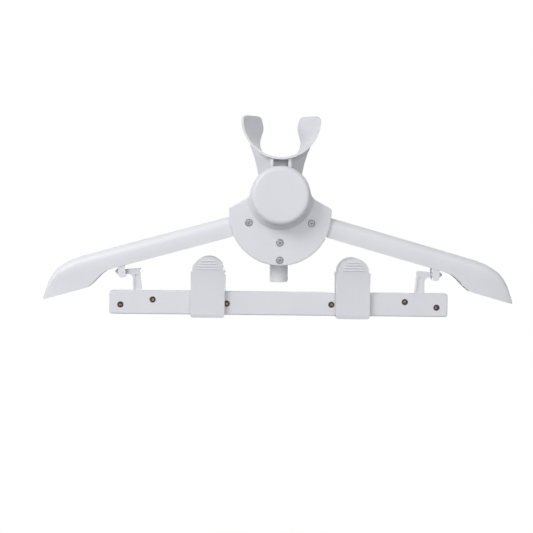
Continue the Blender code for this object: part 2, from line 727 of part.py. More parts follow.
def make_rear_shell(carrier):
    """The rear housing: a dish with posts, an open saddle for the spigot and two shoulder blocks."""
    dish = extrusion(hub_outline(REAR_STEP), BEARING_Y, REAR_Y, "Y")
    dish = eased(dish, REAR_EDGE, lambda end: end.y > REAR_Y - MERGE)
    floor = REAR_Y - SHELL_WALL
    cut(dish, extrusion(hub_outline(REAR_STEP + SHELL_WALL), BEARING_Y - OVERRUN, floor, "Y"))
    saddle = SPIGOT_RADIUS + SEAT_GAP
    below = HUB_CENTRE_Z - HUB_RADIUS
    cut(dish, box((-saddle, BEARING_Y - OVERRUN, below - OVERRUN), (saddle, saddle, below + SHELL_WALL * 4)))
    join(dish, shoulder_block(LEFT), shoulder_block(RIGHT))
    for across, up in HUB_POSTS:
        join(dish, cylinder(POST_RADIUS, POST_FRONT_Y, floor + SHELL_WALL / 2, (across, 0, up), "Y"))
    for across, up in HUB_POSTS[:2]:
        join(dish, cylinder(
            SHOULDER_POST_RADIUS, BEARING_Y, floor + SHELL_WALL / 2, (across, 0, up), "Y"))
    for across, up in HUB_POSTS:
        pilot_end = PLATE_FRONT_Y + HUB_SCREW_LENGTH + OVERRUN * 3
        cut(dish, cylinder(
            HUB_SCREW_SHANK + SEAT_GAP, POST_FRONT_Y - OVERRUN, pilot_end, (across, 0, up), "Y", SMALL_STEPS))
    neck = NECK_STATION_SHARES[1][1] * SEAT_HALF_WIDTH + RUN_GAP
    cut(dish, box(
        (-neck, BEARING_Y - OVERRUN, COLLAR_CENTRE_Z + COLLAR_RADIUS / 2),
        (neck, NECK_BACK_Y + RUN_GAP, COLLAR_CENTRE_Z + COLLAR_RADIUS + OVERRUN)))
    for side in (LEFT, RIGHT):
        place = (side * CRADLE_SCREW_X, 0, CRADLE_SCREW_Z)
        cut(dish, cylinder(CRADLE_SCREW_SINK, REAR_Y - CRADLE_SCREW_SINK_DEPTH, REAR_Y + OVERRUN, place, "Y"))
        cut(dish, cylinder(
            HUB_SCREW_SHANK + SEAT_GAP, floor - OVERRUN, REAR_Y + OVERRUN, place, "Y", SMALL_STEPS))
    return finish("hub_rear_shell", dish, HOUSING, carrier)


def make_hub_screws(carrier):
    seat = PLATE_FRONT_Y + HUB_SCREW_SINK_DEPTH - SEAT_GAP
    for place, (across, up) in zip(("left", "right", "upper", "lower"), HUB_POSTS):
        body = screw(
            (across, seat, up), "Y", -1,
            HUB_SCREW_HEAD, HUB_SCREW_HEAD_DEPTH, HUB_SCREW_SHANK, HUB_SCREW_LENGTH)
        finish(place + "_hub_screw", body, ZINC, carrier)


def seat_point(share):
    """Half width and height of the seat curve at a share of its table, smoothly joined."""
    table = SEAT_CURVE_SHARES
    place = share * (len(table) - 1)
    index = min(int(place), len(table) - 2)
    part = place - index
    last = len(table) - 1
    before = Vector(table[index - 1]) if index else Vector((-table[1][0], table[1][1]))
    start, end = Vector(table[index]), Vector(table[index + 1])
    after = Vector(table[min(index + 2, last)])
    bend = start * 2 + (end - before) * part
    bend += (before * 2 - start * 5 + end * 4 - after) * part ** 2
    bend += (start * 3 - before - end * 3 + after) * part ** 3
    width, height = bend / 2
    return Vector((width * SEAT_HALF_WIDTH, SEAT_BOTTOM_Z + height * (EAR_TOP_Z - SEAT_BOTTOM_Z)))


def rim_point(share):
    """A point of the front rim, from the middle of its floor to the ear's top."""
    turn = -math.pi / 2 + (math.pi / 2 + RIM_END) * share
    return Vector((RIM_RADIUS * math.cos(turn), RIM_CENTRE_Z + RIM_RADIUS * math.sin(turn)))


def saddle_curve(depth_share, rounding, outward, steps=16):
    """Half of the saddle's section at a depth, floor to ear, moved outward by a share of its wall."""
    points = []
    for step in range(steps + 1):
        share = step / steps
        inner = rim_point(share).lerp(seat_point(share), depth_share)
        ahead = rim_point(share + MERGE).lerp(seat_point(min(share + MERGE, 1)), depth_share)
        behind = rim_point(share - MERGE).lerp(seat_point(max(share - MERGE, 0)), depth_share)
        normal = Vector(((ahead - behind).y, -(ahead - behind).x)).normalized()
        if not step:
            normal = Vector((0, -1))
        wall = CRADLE_WALL + CRADLE_SOLE * (1 - share) ** 3
        point = inner + normal * wall * outward
        point.y -= rounding * EAR_ROUND * share ** 8
        points.append(point)
    return points


def saddle_sections(outer_share, inner_share, overrun=0.0):
    """Closed loops through the saddle's depth, between two shares of its wall."""
    sections = []
    for depth_share, rounding in CRADLE_STATION_SHARES:
        depth = CRADLE_FRONT_Y + (CRADLE_BACK_Y - CRADLE_FRONT_Y) * depth_share
        depth += overrun * (2 * depth_share - 1)
        outer = saddle_curve(depth_share, rounding, outer_share)
        left = [(-point.x, point.y) for point in reversed(outer)]
        loop = left + [(point.x, point.y) for point in outer[1:]]
        if inner_share is not None:
            inner = saddle_curve(depth_share, rounding, inner_share)
            loop += [(point.x, point.y) for point in reversed(inner)]
            loop += [(-point.x, point.y) for point in inner[1:]]
        sections.append([(across, depth, up) for across, up in loop])
    return sections


def neck_section(height, back_half):
    """The neck's plan at a height: a narrow box in front, widening to its back."""
    side_start = NECK_FRONT_Y + NECK_BOX_DEPTH
    right = [
        (NECK_BOX_HALF, NECK_FRONT_Y), (NECK_BOX_HALF, side_start),
        (back_half, NECK_SIDE_Y), (back_half, NECK_BACK_Y)]
    left = [(-across, depth) for across, depth in reversed(right)]
    return [(across, depth, height) for across, depth in right + left]


def make_cradle(carrier):
    """The flared saddle for the steam head, on a wedge neck whose foot stands in the hub."""
    heights = [
        (NECK_BOTTOM_Z + (NECK_TOP_Z - NECK_BOTTOM_Z) * share, width * SEAT_HALF_WIDTH)
        for share, width in NECK_STATION_SHARES]
    body = loft([neck_section(height, width) for height, width in heights])
    cut(body, loft(saddle_sections(0.5, None)))
    join(body, loft(saddle_sections(1, 0)))
    join(body, box(
        (-FOOT_HALF, FOOT_FRONT_Y, FOOT_BOTTOM_Z), (FOOT_HALF, NECK_BACK_Y, NECK_BOTTOM_Z + OVERRUN * 2)))
    cut(body, box(
        (-RECESS_HALF, NECK_FRONT_Y - OVERRUN, NECK_BOTTOM_Z - OVERRUN),
        (RECESS_HALF, NECK_FRONT_Y + RECESS_DEPTH, RECESS_TOP_Z)))
    for side in (LEFT, RIGHT):
        cut(body, cylinder(
            HUB_SCREW_SHANK + SEAT_GAP, NECK_BACK_Y - CRADLE_SCREW_LENGTH, NECK_BACK_Y + OVERRUN,
            (side * CRADLE_SCREW_X, 0, CRADLE_SCREW_Z), "Y", SMALL_STEPS))
    return finish("head_cradle", body, HOUSING, carrier)


def make_cradle_screws(carrier):
    seat = REAR_Y - CRADLE_SCREW_SINK_DEPTH + SEAT_GAP
    for side in (LEFT, RIGHT):
        body = screw(
            (side * CRADLE_SCREW_X, seat, CRADLE_SCREW_Z), "Y", 1, HUB_SCREW_HEAD, CRADLE_SCREW_HEAD_DEPTH,
            HUB_SCREW_SHANK, CRADLE_SCREW_LENGTH)
        finish(SIDE_NAMES[side] + "_cradle_screw", body, ZINC, carrier)


def make_button(carrier):
    """The push button: a cup with a stem, open behind."""
    back = BUTTON_FRONT_Y + BUTTON_DEPTH
    stem_end = PLATE_BACK_Y
    edge = arc(BUTTON_RADIUS - BUTTON_EDGE, 0, BUTTON_EDGE, 0, math.pi / 2, 4)
    crown = [(radius, BUTTON_FRONT_Y + BUTTON_EDGE - rise) for radius, rise in edge]
    inside = BUTTON_RADIUS - BUTTON_WALL
    profile = [
        (0, stem_end), (STEM_RADIUS, stem_end), (STEM_RADIUS, BUTTON_FRONT_Y + BUTTON_WALL),
        (inside, BUTTON_FRONT_Y + BUTTON_WALL), (inside, back), (BUTTON_RADIUS, back),
        *crown, (0, BUTTON_FRONT_Y),
    ]
    body = turned(profile, (0, 0, COLLAR_CENTRE_Z), "Y", 2 * ROUND_STEPS)
    bore = cylinder(
        STEM_BORE, stem_end - STEM_BORE_DEPTH, stem_end + OVERRUN, (0, 0, COLLAR_CENTRE_Z), "Y", SMALL_STEPS)
    return finish("release_button", cut(body, bore), BUTTON, carrier)


def make_lock_plate(carrier):
    """The plate behind the button, whose two tongues reach the arms' knuckles."""
    front = PLATE_BACK_Y + SEAT_GAP
    back = front + LOCK_PLATE_THICKNESS
    body = cylinder(LOCK_DISC_RADIUS, front, back, (0, 0, COLLAR_CENTRE_Z), "Y")
    hub = Vector((0, COLLAR_CENTRE_Z))
    for side in (LEFT, RIGHT):
        pivot = Vector((side * PIVOT_X, PIVOT_Z))
        way = (pivot - hub).normalized()
        across = Vector((-way.y, way.x)) * (TONGUE_WIDTH / 2)
        tip = pivot - way * (KNUCKLE_RADIUS + SEAT_GAP * 2)
        root = hub + way * (LOCK_DISC_RADIUS / 2)
        outline = [tuple(root + across), tuple(tip + across), tuple(tip - across), tuple(root - across)]
        join(body, extrusion(outline, front, back, "Y"))
    cut(body, cylinder(
        LOCK_SCREW_SHANK + SEAT_GAP, front - OVERRUN, back + OVERRUN,
        (0, 0, COLLAR_CENTRE_Z), "Y", SMALL_STEPS))
    return finish("lock_plate", body, INNER, carrier)


def make_lock_screw(carrier):
    seat = PLATE_BACK_Y + LOCK_PLATE_THICKNESS + SEAT_GAP * 2
    body = screw((0, seat, COLLAR_CENTRE_Z), "Y", 1, LOCK_SCREW_HEAD, LOCK_SCREW_HEAD_DEPTH,
                 LOCK_SCREW_SHANK, LOCK_SCREW_LENGTH)
    return finish("lock_plate_screw", body, ZINC, carrier)


def make_button_spring(carrier):
    """The return spring round the stem, from the plate to the inside of the button."""
    start = PLATE_FRONT_Y - SEAT_GAP - SPRING_WIRE
    end = BUTTON_FRONT_Y + BUTTON_WALL + SEAT_GAP + SPRING_WIRE
    count = SPRING_TURNS * SPRING_POINTS
    points = []
    for step in range(count + 1):
        turn = 2 * math.pi * step / SPRING_POINTS
        share = step / count
        points.append((
            SPRING_RADIUS * math.cos(turn), start + (end - start) * share,
            COLLAR_CENTRE_Z + SPRING_RADIUS * math.sin(turn)))
    gap = least_gap(points, SPRING_POINTS, SPRING_WIRE)
    print("button spring, least gap to itself in mm:", round(gap, 2))
    return finish("button_spring", tube(points, SPRING_WIRE), STEEL, carrier)


def least_gap(points, turn_points, wire):
    """The least distance in millimetres between turns of a wire, measured on its points."""
    millimetre = 0.001
    least = min(
        (Vector(one) - Vector(other)).length
        for index, one in enumerate(points)
        for other in points[index + turn_points // 2:])
    return (least - 2 * wire) / millimetre


def arm_run(stage):
    """How far along an arm a stage lies, where 0 is its pivot, 1 its lug and 2 its tip."""
    if stage <= 1:
        return LUG_ALONG * stage
    return LUG_ALONG + (ARM_LENGTH - LUG_ALONG) * (stage - 1)


def arm_section(side, along, top, bottom, half, crown):
    """A cross-section of an arm: flat below, rounded along its two upper edges."""
    crown = min(crown, (top - bottom) * ARM_CROWN_SHARES[0], half * ARM_CROWN_SHARES[1])
    rise = arc(half - crown, top - crown, crown, 0, math.pi / 2, ARC_STEPS + BEVEL_STEPS)
    right = [(half, bottom), *rise]
    loop = right + [(-across, up) for across, up in reversed(right)]
    return [tuple(arm_place(side, along, up, depth)) for depth, up in loop]


def arm_blank(side):
    """An arm's outer form, solid and without its knuckle."""
    return loft([
        arm_section(side, arm_run(stage), top * ARM_HEIGHT, bottom * ARM_HEIGHT, half * ARM_DEPTH, ARM_CROWN)
        for stage, top, bottom, half in ARM_STATION_SHARES])


def arm_hollow(side):
    """The room inside an arm, which runs down past its open edge."""
    low = min(bottom for stage, top, bottom, half in ARM_STATION_SHARES) * ARM_HEIGHT - OVERRUN
    sections = []
    for stage, top, bottom, half in ARM_STATION_SHARES:
        room = (top - bottom) * ARM_HEIGHT - 3 * ARM_WALL
        if room < 0 or half * ARM_DEPTH < 2 * ARM_WALL:
            continue
        place = max(arm_run(stage), KNUCKLE_LENGTH)
        sections.append(arm_section(
            side, place, top * ARM_HEIGHT - ARM_WALL, low, half * ARM_DEPTH - ARM_WALL, ARM_CROWN - ARM_WALL))
    return loft(sections)


def arm_bridge(side, stage):
    """A slab across an arm at a stage of its run, which leaves a cross rib in the hollow."""
    place = arm_run(stage)
    high = ARM_ABOVE_AXIS + OVERRUN
    low = ARM_ABOVE_AXIS - ARM_RIB_HEIGHT
    corners = [(ARM_DEPTH, low), (ARM_DEPTH, high), (-ARM_DEPTH, high), (-ARM_DEPTH, low)]
    return loft([
        [tuple(arm_place(side, along, up, depth)) for depth, up in corners]
        for along in (place - ARM_RIB / 2, place + ARM_RIB / 2)])


def lug_outline():
    """The lug seen from the front: a block with a round bottom."""
    half = LUG_WIDTH / 2
    low = PIN_Z - LUG_ROUND_BELOW_PIN
    top = [(LUG_X + half, LUG_TOP), (LUG_X - half, LUG_TOP)]
    return top + arc(LUG_X, low, half, math.pi, 2 * math.pi, 2 * ARC_STEPS)


def make_arm(side, carrier):
    """A shoulder arm: an open-bottomed shell with a knuckle, cross ribs and a forked lug."""
    body = arm_blank(side)
    pivot = (side * PIVOT_X, 0, PIVOT_Z)
    join(body, cylinder(KNUCKLE_RADIUS, ARM_FRONT_Y, ARM_BACK_Y, pivot, "Y", 2 * ROUND_STEPS))
    half_depth = LUG_DEPTH / 2
    join(body, extrusion(
        mirrored(lug_outline(), side), ARM_MIDDLE_Y - half_depth, ARM_MIDDLE_Y + half_depth, "Y"))
    hollow = arm_hollow(side)
    for stage in ARM_RIB_SHARES:
        cut(hollow, arm_bridge(side, stage))
    half = LUG_WIDTH / 2 - SEAT_GAP
    across = sorted((side * (LUG_X - half), side * (LUG_X + half)))
    cut(hollow, box((across[0], ARM_FRONT_Y, PIN_Z - ARM_HEIGHT), (across[1], ARM_BACK_Y, LUG_TOP)))
    cut(body, cylinder(KNUCKLE_BORE_RADIUS, ARM_FRONT_Y - OVERRUN, ARM_BACK_Y + OVERRUN, pivot, "Y"))
    reach = sorted((side * (LUG_X - LUG_WIDTH), side * (LUG_X + LUG_WIDTH)))
    cut(body, box(
        (reach[0], ARM_MIDDLE_Y - SLOT_HALF, PIN_Z - ARM_HEIGHT),
        (reach[1], ARM_MIDDLE_Y + SLOT_HALF, PIN_Z + PIN_RADIUS + SEAT_GAP)))
    cut(body, as_solid(hollow))
    return finish(SIDE_NAMES[side] + "_arm", body, HOUSING, carrier)


def make_hook_pin(side, carrier):
    """A stepped pin: its shank turns in the bracket, its body hangs in the lug, its barb shows outside."""
    start = BRACKET_ARM_END + SEAT_GAP
    end = LUG_X + LUG_WIDTH / 2 + RUN_GAP
    profile = [
        (0, end + PIN_TIP_LENGTH), (PIN_TIP_RADIUS, end + PIN_TIP_LENGTH),
        (PIN_BARB_RADIUS, end + PIN_BARB_FOOT), (PIN_BARB_RADIUS, end), (PIN_RADIUS, end),
        (PIN_RADIUS, start), (PIN_SHANK_RADIUS, start),
        (PIN_SHANK_RADIUS, start - PIN_SHANK_LENGTH), (0, start - PIN_SHANK_LENGTH),
    ]
    profile = [(radius, side * height) for radius, height in profile]
    body = turned(profile, (0, ARM_MIDDLE_Y, PIN_Z), "X", SMALL_STEPS)
    return finish(SIDE_NAMES[side] + "_hook_pin", body, HOUSING, carrier)


def bar_outline(inset, radius):
    half = BAR_LENGTH / 2 - inset
    return filleted([
        (half, BAR_TOP - inset, radius), (-half, BAR_TOP - inset, radius),
        (-half, BAR_BOTTOM + inset, radius), (half, BAR_BOTTOM + inset, radius)], 3)


def bar_screw_places():
    return [
        (side * across, BAR_TOP - drop)
        for side in (LEFT, RIGHT) for across, drop in zip(BAR_SCREW_X, BAR_SCREW_DROP)]


def leg_slots():
    """The gaps in the bar's top wall that the two bracket legs pass through."""
    half = BRACKET_THICKNESS / 2 + SEAT_GAP
    slots = []
    for side in (LEFT, RIGHT):
        across = sorted((
            side * (LEG_INNER_X - SEAT_GAP),
            side * (LEG_INNER_X + LEG_WIDTH + SEAT_GAP)))
        slots.append(box(
            (across[0], ARM_MIDDLE_Y - half, BAR_TOP - BAR_WALL - OVERRUN),
            (across[1], ARM_MIDDLE_Y + half, BAR_TOP + OVERRUN)))
    return slots


def make_bar_shells(carrier):
    """The front and rear trays of the bar, the rear one with posts for the six screws."""
    parting = SEAT_GAP / 2
    front_y = ARM_MIDDLE_Y - BAR_DEPTH / 2
    back_y = ARM_MIDDLE_Y + BAR_DEPTH / 2
    front = extrusion(bar_outline(0, BAR_CORNER), front_y, ARM_MIDDLE_Y - parting, "Y")
    front = eased(front, BAR_EDGE, lambda end: end.y < front_y + MERGE, 1)
    cut(front, extrusion(
        bar_outline(BAR_WALL, BAR_CORNER / 2), front_y + BAR_WALL, ARM_MIDDLE_Y + OVERRUN, "Y"))
    rear = extrusion(bar_outline(0, BAR_CORNER), ARM_MIDDLE_Y + parting, back_y, "Y")
    rear = eased(rear, BAR_EDGE, lambda end: end.y > back_y - MERGE, 1)
    cut(rear, extrusion(
        bar_outline(BAR_WALL, BAR_CORNER / 2), ARM_MIDDLE_Y - OVERRUN, back_y - BAR_WALL, "Y"))
    cut(front, *leg_slots())
    cut(rear, *leg_slots())
    post_front = front_y + BAR_WALL + SEAT_GAP
    for across, up in bar_screw_places():
        place = (across, 0, up)
        cut(front, cylinder(
            BAR_SCREW_SINK, front_y - OVERRUN, front_y + BAR_SCREW_SINK_DEPTH, place, "Y", SMALL_STEPS))
        cut(front, cylinder(
            BAR_SCREW_SHANK + SEAT_GAP, front_y, front_y + BAR_WALL + OVERRUN, place, "Y", SMALL_STEPS))
        join(rear, cylinder(BAR_POST_RADIUS, post_front, back_y - BAR_WALL / 2, place, "Y", SMALL_STEPS))
        cut(rear, cylinder(
            BAR_SCREW_SHANK + SEAT_GAP, post_front - OVERRUN, back_y - BAR_WALL / 2, place, "Y", SMALL_STEPS))
    finish("bar_front_shell", front, HOUSING, carrier)
    finish("bar_rear_shell", rear, HOUSING, carrier)


def make_bar_screws(carrier):
    seat = ARM_MIDDLE_Y - BAR_DEPTH / 2 + BAR_SCREW_SINK_DEPTH - SEAT_GAP
    for number, (across, up) in enumerate(bar_screw_places(), 1):
        body = screw(
            (across, seat, up), "Y", -1,
            BAR_SCREW_HEAD, BAR_SCREW_HEAD_DEPTH, BAR_SCREW_SHANK, BAR_SCREW_LENGTH)
        finish(f"bar_screw_{number}", body, BRASS, carrier)


def make_bracket(side, carrier):
    """An L-shaped bracket: a wide foot inside the bar, a channelled leg and a short arm bored for the pin."""
    leg_outer = LEG_INNER_X + LEG_WIDTH
    foot_top = BAR_TOP - BAR_WALL - SEAT_GAP
    foot_bottom = BAR_BOTTOM + BAR_WALL + SEAT_GAP
    arm_low = PIN_Z - BRACKET_ARM_HALF_HEIGHT
    arm_high = PIN_Z + BRACKET_ARM_HALF_HEIGHT
    outline = filleted([
        (FOOT_INNER_X, foot_bottom, FOOT_CORNER), (FOOT_OUTER_X, foot_bottom, FOOT_CORNER),
        (FOOT_OUTER_X, foot_top, FOOT_CORNER), (leg_outer, foot_top, 0),
        (leg_outer, arm_low, BRACKET_INNER_ROUND), (BRACKET_ARM_END, arm_low, 0),
        (BRACKET_ARM_END, arm_high, 0), (LEG_INNER_X + LEG_TOP_INSET, BRACKET_TOP, BRACKET_CORNER),
        (LEG_INNER_X, foot_top, 0), (FOOT_INNER_X, foot_top, FOOT_CORNER)], 4)
    half = BRACKET_THICKNESS / 2
    body = extrusion(mirrored(outline, side), ARM_MIDDLE_Y - half, ARM_MIDDLE_Y + half, "Y")
    channel = filleted([
        (LEG_INNER_X + CHANNEL_RIM, BAR_TOP, 0),
        (leg_outer - CHANNEL_RIM, BAR_TOP, 0),
        (leg_outer - CHANNEL_RIM, arm_low, CHANNEL_RIM),
        (LEG_INNER_X + LEG_TOP_INSET + CHANNEL_RIM / 2, arm_low, CHANNEL_RIM)], 3)
    for face in (-1, 1):
        cut(body, extrusion(
            mirrored(channel, side), ARM_MIDDLE_Y + face * (half - CHANNEL_DEPTH),
            ARM_MIDDLE_Y + face * (half + OVERRUN), "Y"))
    for across, drop in zip(BAR_SCREW_X[1:], BAR_SCREW_DROP[1:]):
        cut(body, cylinder(
            BAR_POST_RADIUS + SEAT_GAP, ARM_MIDDLE_Y - BAR_DEPTH, ARM_MIDDLE_Y + BAR_DEPTH,
            (side * across, 0, BAR_TOP - drop), "Y", SMALL_STEPS))
    bore_end = BRACKET_ARM_END - PIN_SHANK_LENGTH - SEAT_GAP
    low, high = sorted((side * bore_end, side * (BRACKET_ARM_END + OVERRUN)))
    cut(body, cylinder(
        PIN_SHANK_RADIUS + SEAT_GAP, low, high, (0, ARM_MIDDLE_Y, PIN_Z), "X", SMALL_STEPS))
    return finish(SIDE_NAMES[side] + "_bracket", body, HOUSING, carrier)


def leaf_bend():
    """Height at which a leaf turns outwards into its thumb tab."""
    return AXLE_Z - EAR_RADIUS * 3 / 2


def leaf_inside(height):
    """How far a leaf's inner face lies from the middle plane at a height."""
    share = max(0, (height - leaf_bend()) / (LEAF_TOP - leaf_bend()))
    return BAR_DEPTH / 2 + SLIDER_WALL + 2 * SEAT_GAP + LEAF_SPREAD * share


def leaf_face(middle_x):
    """A clip leaf's outline seen from the front: a round thumb tab on a wide jaw."""
    half = LEAF_WIDTH / 2
    tab = arc(middle_x, LEAF_TOP - TAB_RADIUS, TAB_RADIUS, TAB_END, math.pi - TAB_END, 3 * ARC_STEPS)
    right = [(middle_x + half, LEAF_BOTTOM, LEAF_FOOT_ROUND), (middle_x + half, TAB_STEP_Z, LEAF_STEP_ROUND)]
    left = [(middle_x - half, TAB_STEP_Z, LEAF_STEP_ROUND), (middle_x - half, LEAF_BOTTOM, LEAF_FOOT_ROUND)]
    lower = filleted([*right, (*tab[0], 0), (*tab[-1], 0), *left], 3)
    count = len(lower) // 2
    return lower[:count] + tab[1:-1] + lower[count:]


def make_leaf(name, middle_x, face, ear_x, carrier):
    """One leaf of a clip; face is -1 for the front leaf and 1 for the rear one."""
    jaw = leaf_inside(LEAF_BOTTOM)
    bend = leaf_bend()
    side_view = [
        (JAW_GAP / 2, LEAF_BOTTOM), (JAW_GAP / 2, LEAF_BOTTOM + LEAF_LIP), (jaw, LEAF_BOTTOM + LEAF_LIP),
        (jaw, bend), (jaw + LEAF_SPREAD, LEAF_TOP), (jaw + LEAF_SPREAD + LEAF_THICKNESS, LEAF_TOP),
        (jaw + LEAF_THICKNESS, bend), (jaw + LEAF_THICKNESS, LEAF_BOTTOM + LEAF_TOE_RISE),
        (jaw + LEAF_THICKNESS - LEAF_TOE_DEPTH, LEAF_BOTTOM),
    ]
    side_view = [(ARM_MIDDLE_Y + face * depth, up) for depth, up in side_view]
    half = LEAF_WIDTH / 2
    body = extrusion(side_view, middle_x - half, middle_x + half, "X")
    reach = jaw + LEAF_SPREAD + LEAF_THICKNESS + OVERRUN
    low, high = sorted((ARM_MIDDLE_Y, ARM_MIDDLE_Y + face * reach))
    combine(body, extrusion(leaf_face(middle_x), low, high, "Y"), "INTERSECT")
    for drop, share in zip(GRIP_RIB_DROP, GRIP_RIB_SHARES):
        height = LEAF_TOP - drop
        depth = leaf_inside(height) + LEAF_THICKNESS
        rib = cylinder(
            GRIP_RIB_RADIUS, middle_x - TAB_RADIUS * share, middle_x + TAB_RADIUS * share,
            (0, ARM_MIDDLE_Y + face * depth, height), "X", 8)
        join(body, rib)
    ear = ear_outline(jaw + LEAF_THICKNESS / 2, face)
    for side in (LEFT, RIGHT):
        centre = middle_x + side * ear_x
        join(body, extrusion(ear, centre - EAR_WIDTH / 2, centre + EAR_WIDTH / 2, "X"))
    cut(body, cylinder(
        AXLE_RADIUS + SEAT_GAP, middle_x - half, middle_x + half,
        (0, ARM_MIDDLE_Y, AXLE_Z), "X", SMALL_STEPS))
    return finish(name, body, HOUSING, carrier)


def ear_outline(reach, face):
    """The side view of an ear that reaches from a leaf to round its axle."""
    far = arc(0, AXLE_Z, EAR_RADIUS, math.pi / 2, 3 * math.pi / 2, 2 * ARC_STEPS)
    near = [(reach, AXLE_Z - EAR_RADIUS), (reach, AXLE_Z + EAR_RADIUS)]
    return [(ARM_MIDDLE_Y + face * depth, up) for depth, up in far + near]


def make_slider(name, middle_x, carrier):
    """A saddle that slides on the bar, with two posts for the axle."""
    inner = BAR_DEPTH / 2 + SEAT_GAP
    outer = inner + SLIDER_WALL
    web_low = BAR_TOP + SEAT_GAP
    web_high = web_low + SLIDER_WALL
    low = BAR_TOP - SLIDER_SKIRT
    outline = [
        (ARM_MIDDLE_Y - outer, low), (ARM_MIDDLE_Y - inner, low), (ARM_MIDDLE_Y - inner, web_low),
        (ARM_MIDDLE_Y + inner, web_low), (ARM_MIDDLE_Y + inner, low), (ARM_MIDDLE_Y + outer, low),
        (ARM_MIDDLE_Y + outer, web_high), (ARM_MIDDLE_Y - outer, web_high),
    ]
    half = SLIDER_LENGTH / 2
    body = extrusion(outline, middle_x - half, middle_x + half, "X")
    for side in (LEFT, RIGHT):
        centre = middle_x + side * SLIDER_POST_X
        post = [(ARM_MIDDLE_Y + across, up) for across, up in (
            (-SLIDER_POST_RADIUS, web_low + SLIDER_WALL / 2), (SLIDER_POST_RADIUS, web_low + SLIDER_WALL / 2))]
        post += arc(ARM_MIDDLE_Y, AXLE_Z, SLIDER_POST_RADIUS, 0, math.pi, 2 * ARC_STEPS)
        join(body, extrusion(post, centre - SLIDER_POST_WIDTH / 2, centre + SLIDER_POST_WIDTH / 2, "X"))
    cut(body, cylinder(
        AXLE_RADIUS + SEAT_GAP, middle_x - half, middle_x + half,
        (0, ARM_MIDDLE_Y, AXLE_Z), "X", SMALL_STEPS))
    return finish(name, body, INNER, carrier)


def make_clip_spring(name, middle_x, carrier):
    """A torsion spring round the axle, whose two legs press the thumb tabs apart."""
    steps = COIL_TURNS * COIL_POINTS + COIL_POINTS // 2
    start = -COIL_PITCH * steps / COIL_POINTS / 2
    coil = []
    for step in range(steps + 1):
        turn = math.pi + 2 * math.pi * step / COIL_POINTS
        coil.append((
            middle_x + start + COIL_PITCH * step / COIL_POINTS,
            ARM_MIDDLE_Y + COIL_RADIUS * math.cos(turn), AXLE_Z + COIL_RADIUS * math.sin(turn)))
    height = AXLE_Z + COIL_LEG_RISE
    reach = leaf_inside(height) - COIL_WIRE * 3 / 2
    first = (coil[0][0], ARM_MIDDLE_Y - reach, height)
    last = (coil[-1][0], ARM_MIDDLE_Y + reach, height)
    print(name, "least gap to itself in mm:", round(least_gap(coil, COIL_POINTS, COIL_WIRE), 2))
    return finish(name, tube([first, *coil, last], COIL_WIRE), STEEL, carrier)


def make_clip(prefix, middle_x, bar):
    """One sliding clip: its slider, axle, spring and two leaves."""
    axle_place = (middle_x, ARM_MIDDLE_Y, AXLE_Z)
    slide = joint_empty(prefix + "_clip_slide", axle_place)
    slide.parent = bar
    slide.matrix_parent_inverse = bar.matrix_world.inverted()
    make_slider(prefix + "_clip_slider", middle_x, slide)
    axle = cylinder(
        AXLE_RADIUS, middle_x - AXLE_LENGTH / 2, middle_x + AXLE_LENGTH / 2,
        (0, ARM_MIDDLE_Y, AXLE_Z), "X", SMALL_STEPS)
    finish(prefix + "_clip_axle", axle, STEEL, slide)
    make_clip_spring(prefix + "_clip_spring", middle_x, slide)
    for place, face, ear_x in (("front", -1, FRONT_EAR_X), ("rear", 1, REAR_EAR_X)):
        hinge = joint_empty(f"{prefix}_clip_{place}_hinge", axle_place)
        hinge.parent = slide
        bpy.context.view_layer.update()
        hinge.matrix_parent_inverse = slide.matrix_world.inverted()
        make_leaf(f"{prefix}_clip_{place}_leaf", middle_x, face, ear_x, hinge)


def main():
    hub = joint_empty("hub", (0, 0, 0))
    make_spigot(hub)
    make_front_shell(hub)
    make_rear_shell(hub)
    make_hub_screws(hub)
    make_cradle(hub)
    make_cradle_screws(hub)
    press = joint_empty("button_press", (0, BUTTON_FRONT_Y, COLLAR_CENTRE_Z))
    make_button(press)
    make_lock_plate(press)
    make_lock_screw(press)
    make_button_spring(hub)
    for side, name in ((LEFT, "left"), (RIGHT, "right")):
        fold = joint_empty(name + "_arm_fold", (side * PIVOT_X, ARM_MIDDLE_Y, PIVOT_Z))
        make_arm(side, fold)
    drop = joint_empty("bar_drop", (0, ARM_MIDDLE_Y, PIN_Z))
    swing = joint_empty("bar_swing", (0, ARM_MIDDLE_Y, PIN_Z))
    for side in (LEFT, RIGHT):
        make_hook_pin(side, drop)
        make_bracket(side, swing)
    make_bar_shells(swing)
    make_bar_screws(swing)
    for prefix, middle_x in zip(("left", "right"), CLIP_X):
        make_clip(prefix, middle_x, swing)


main()
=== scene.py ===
import json
import math

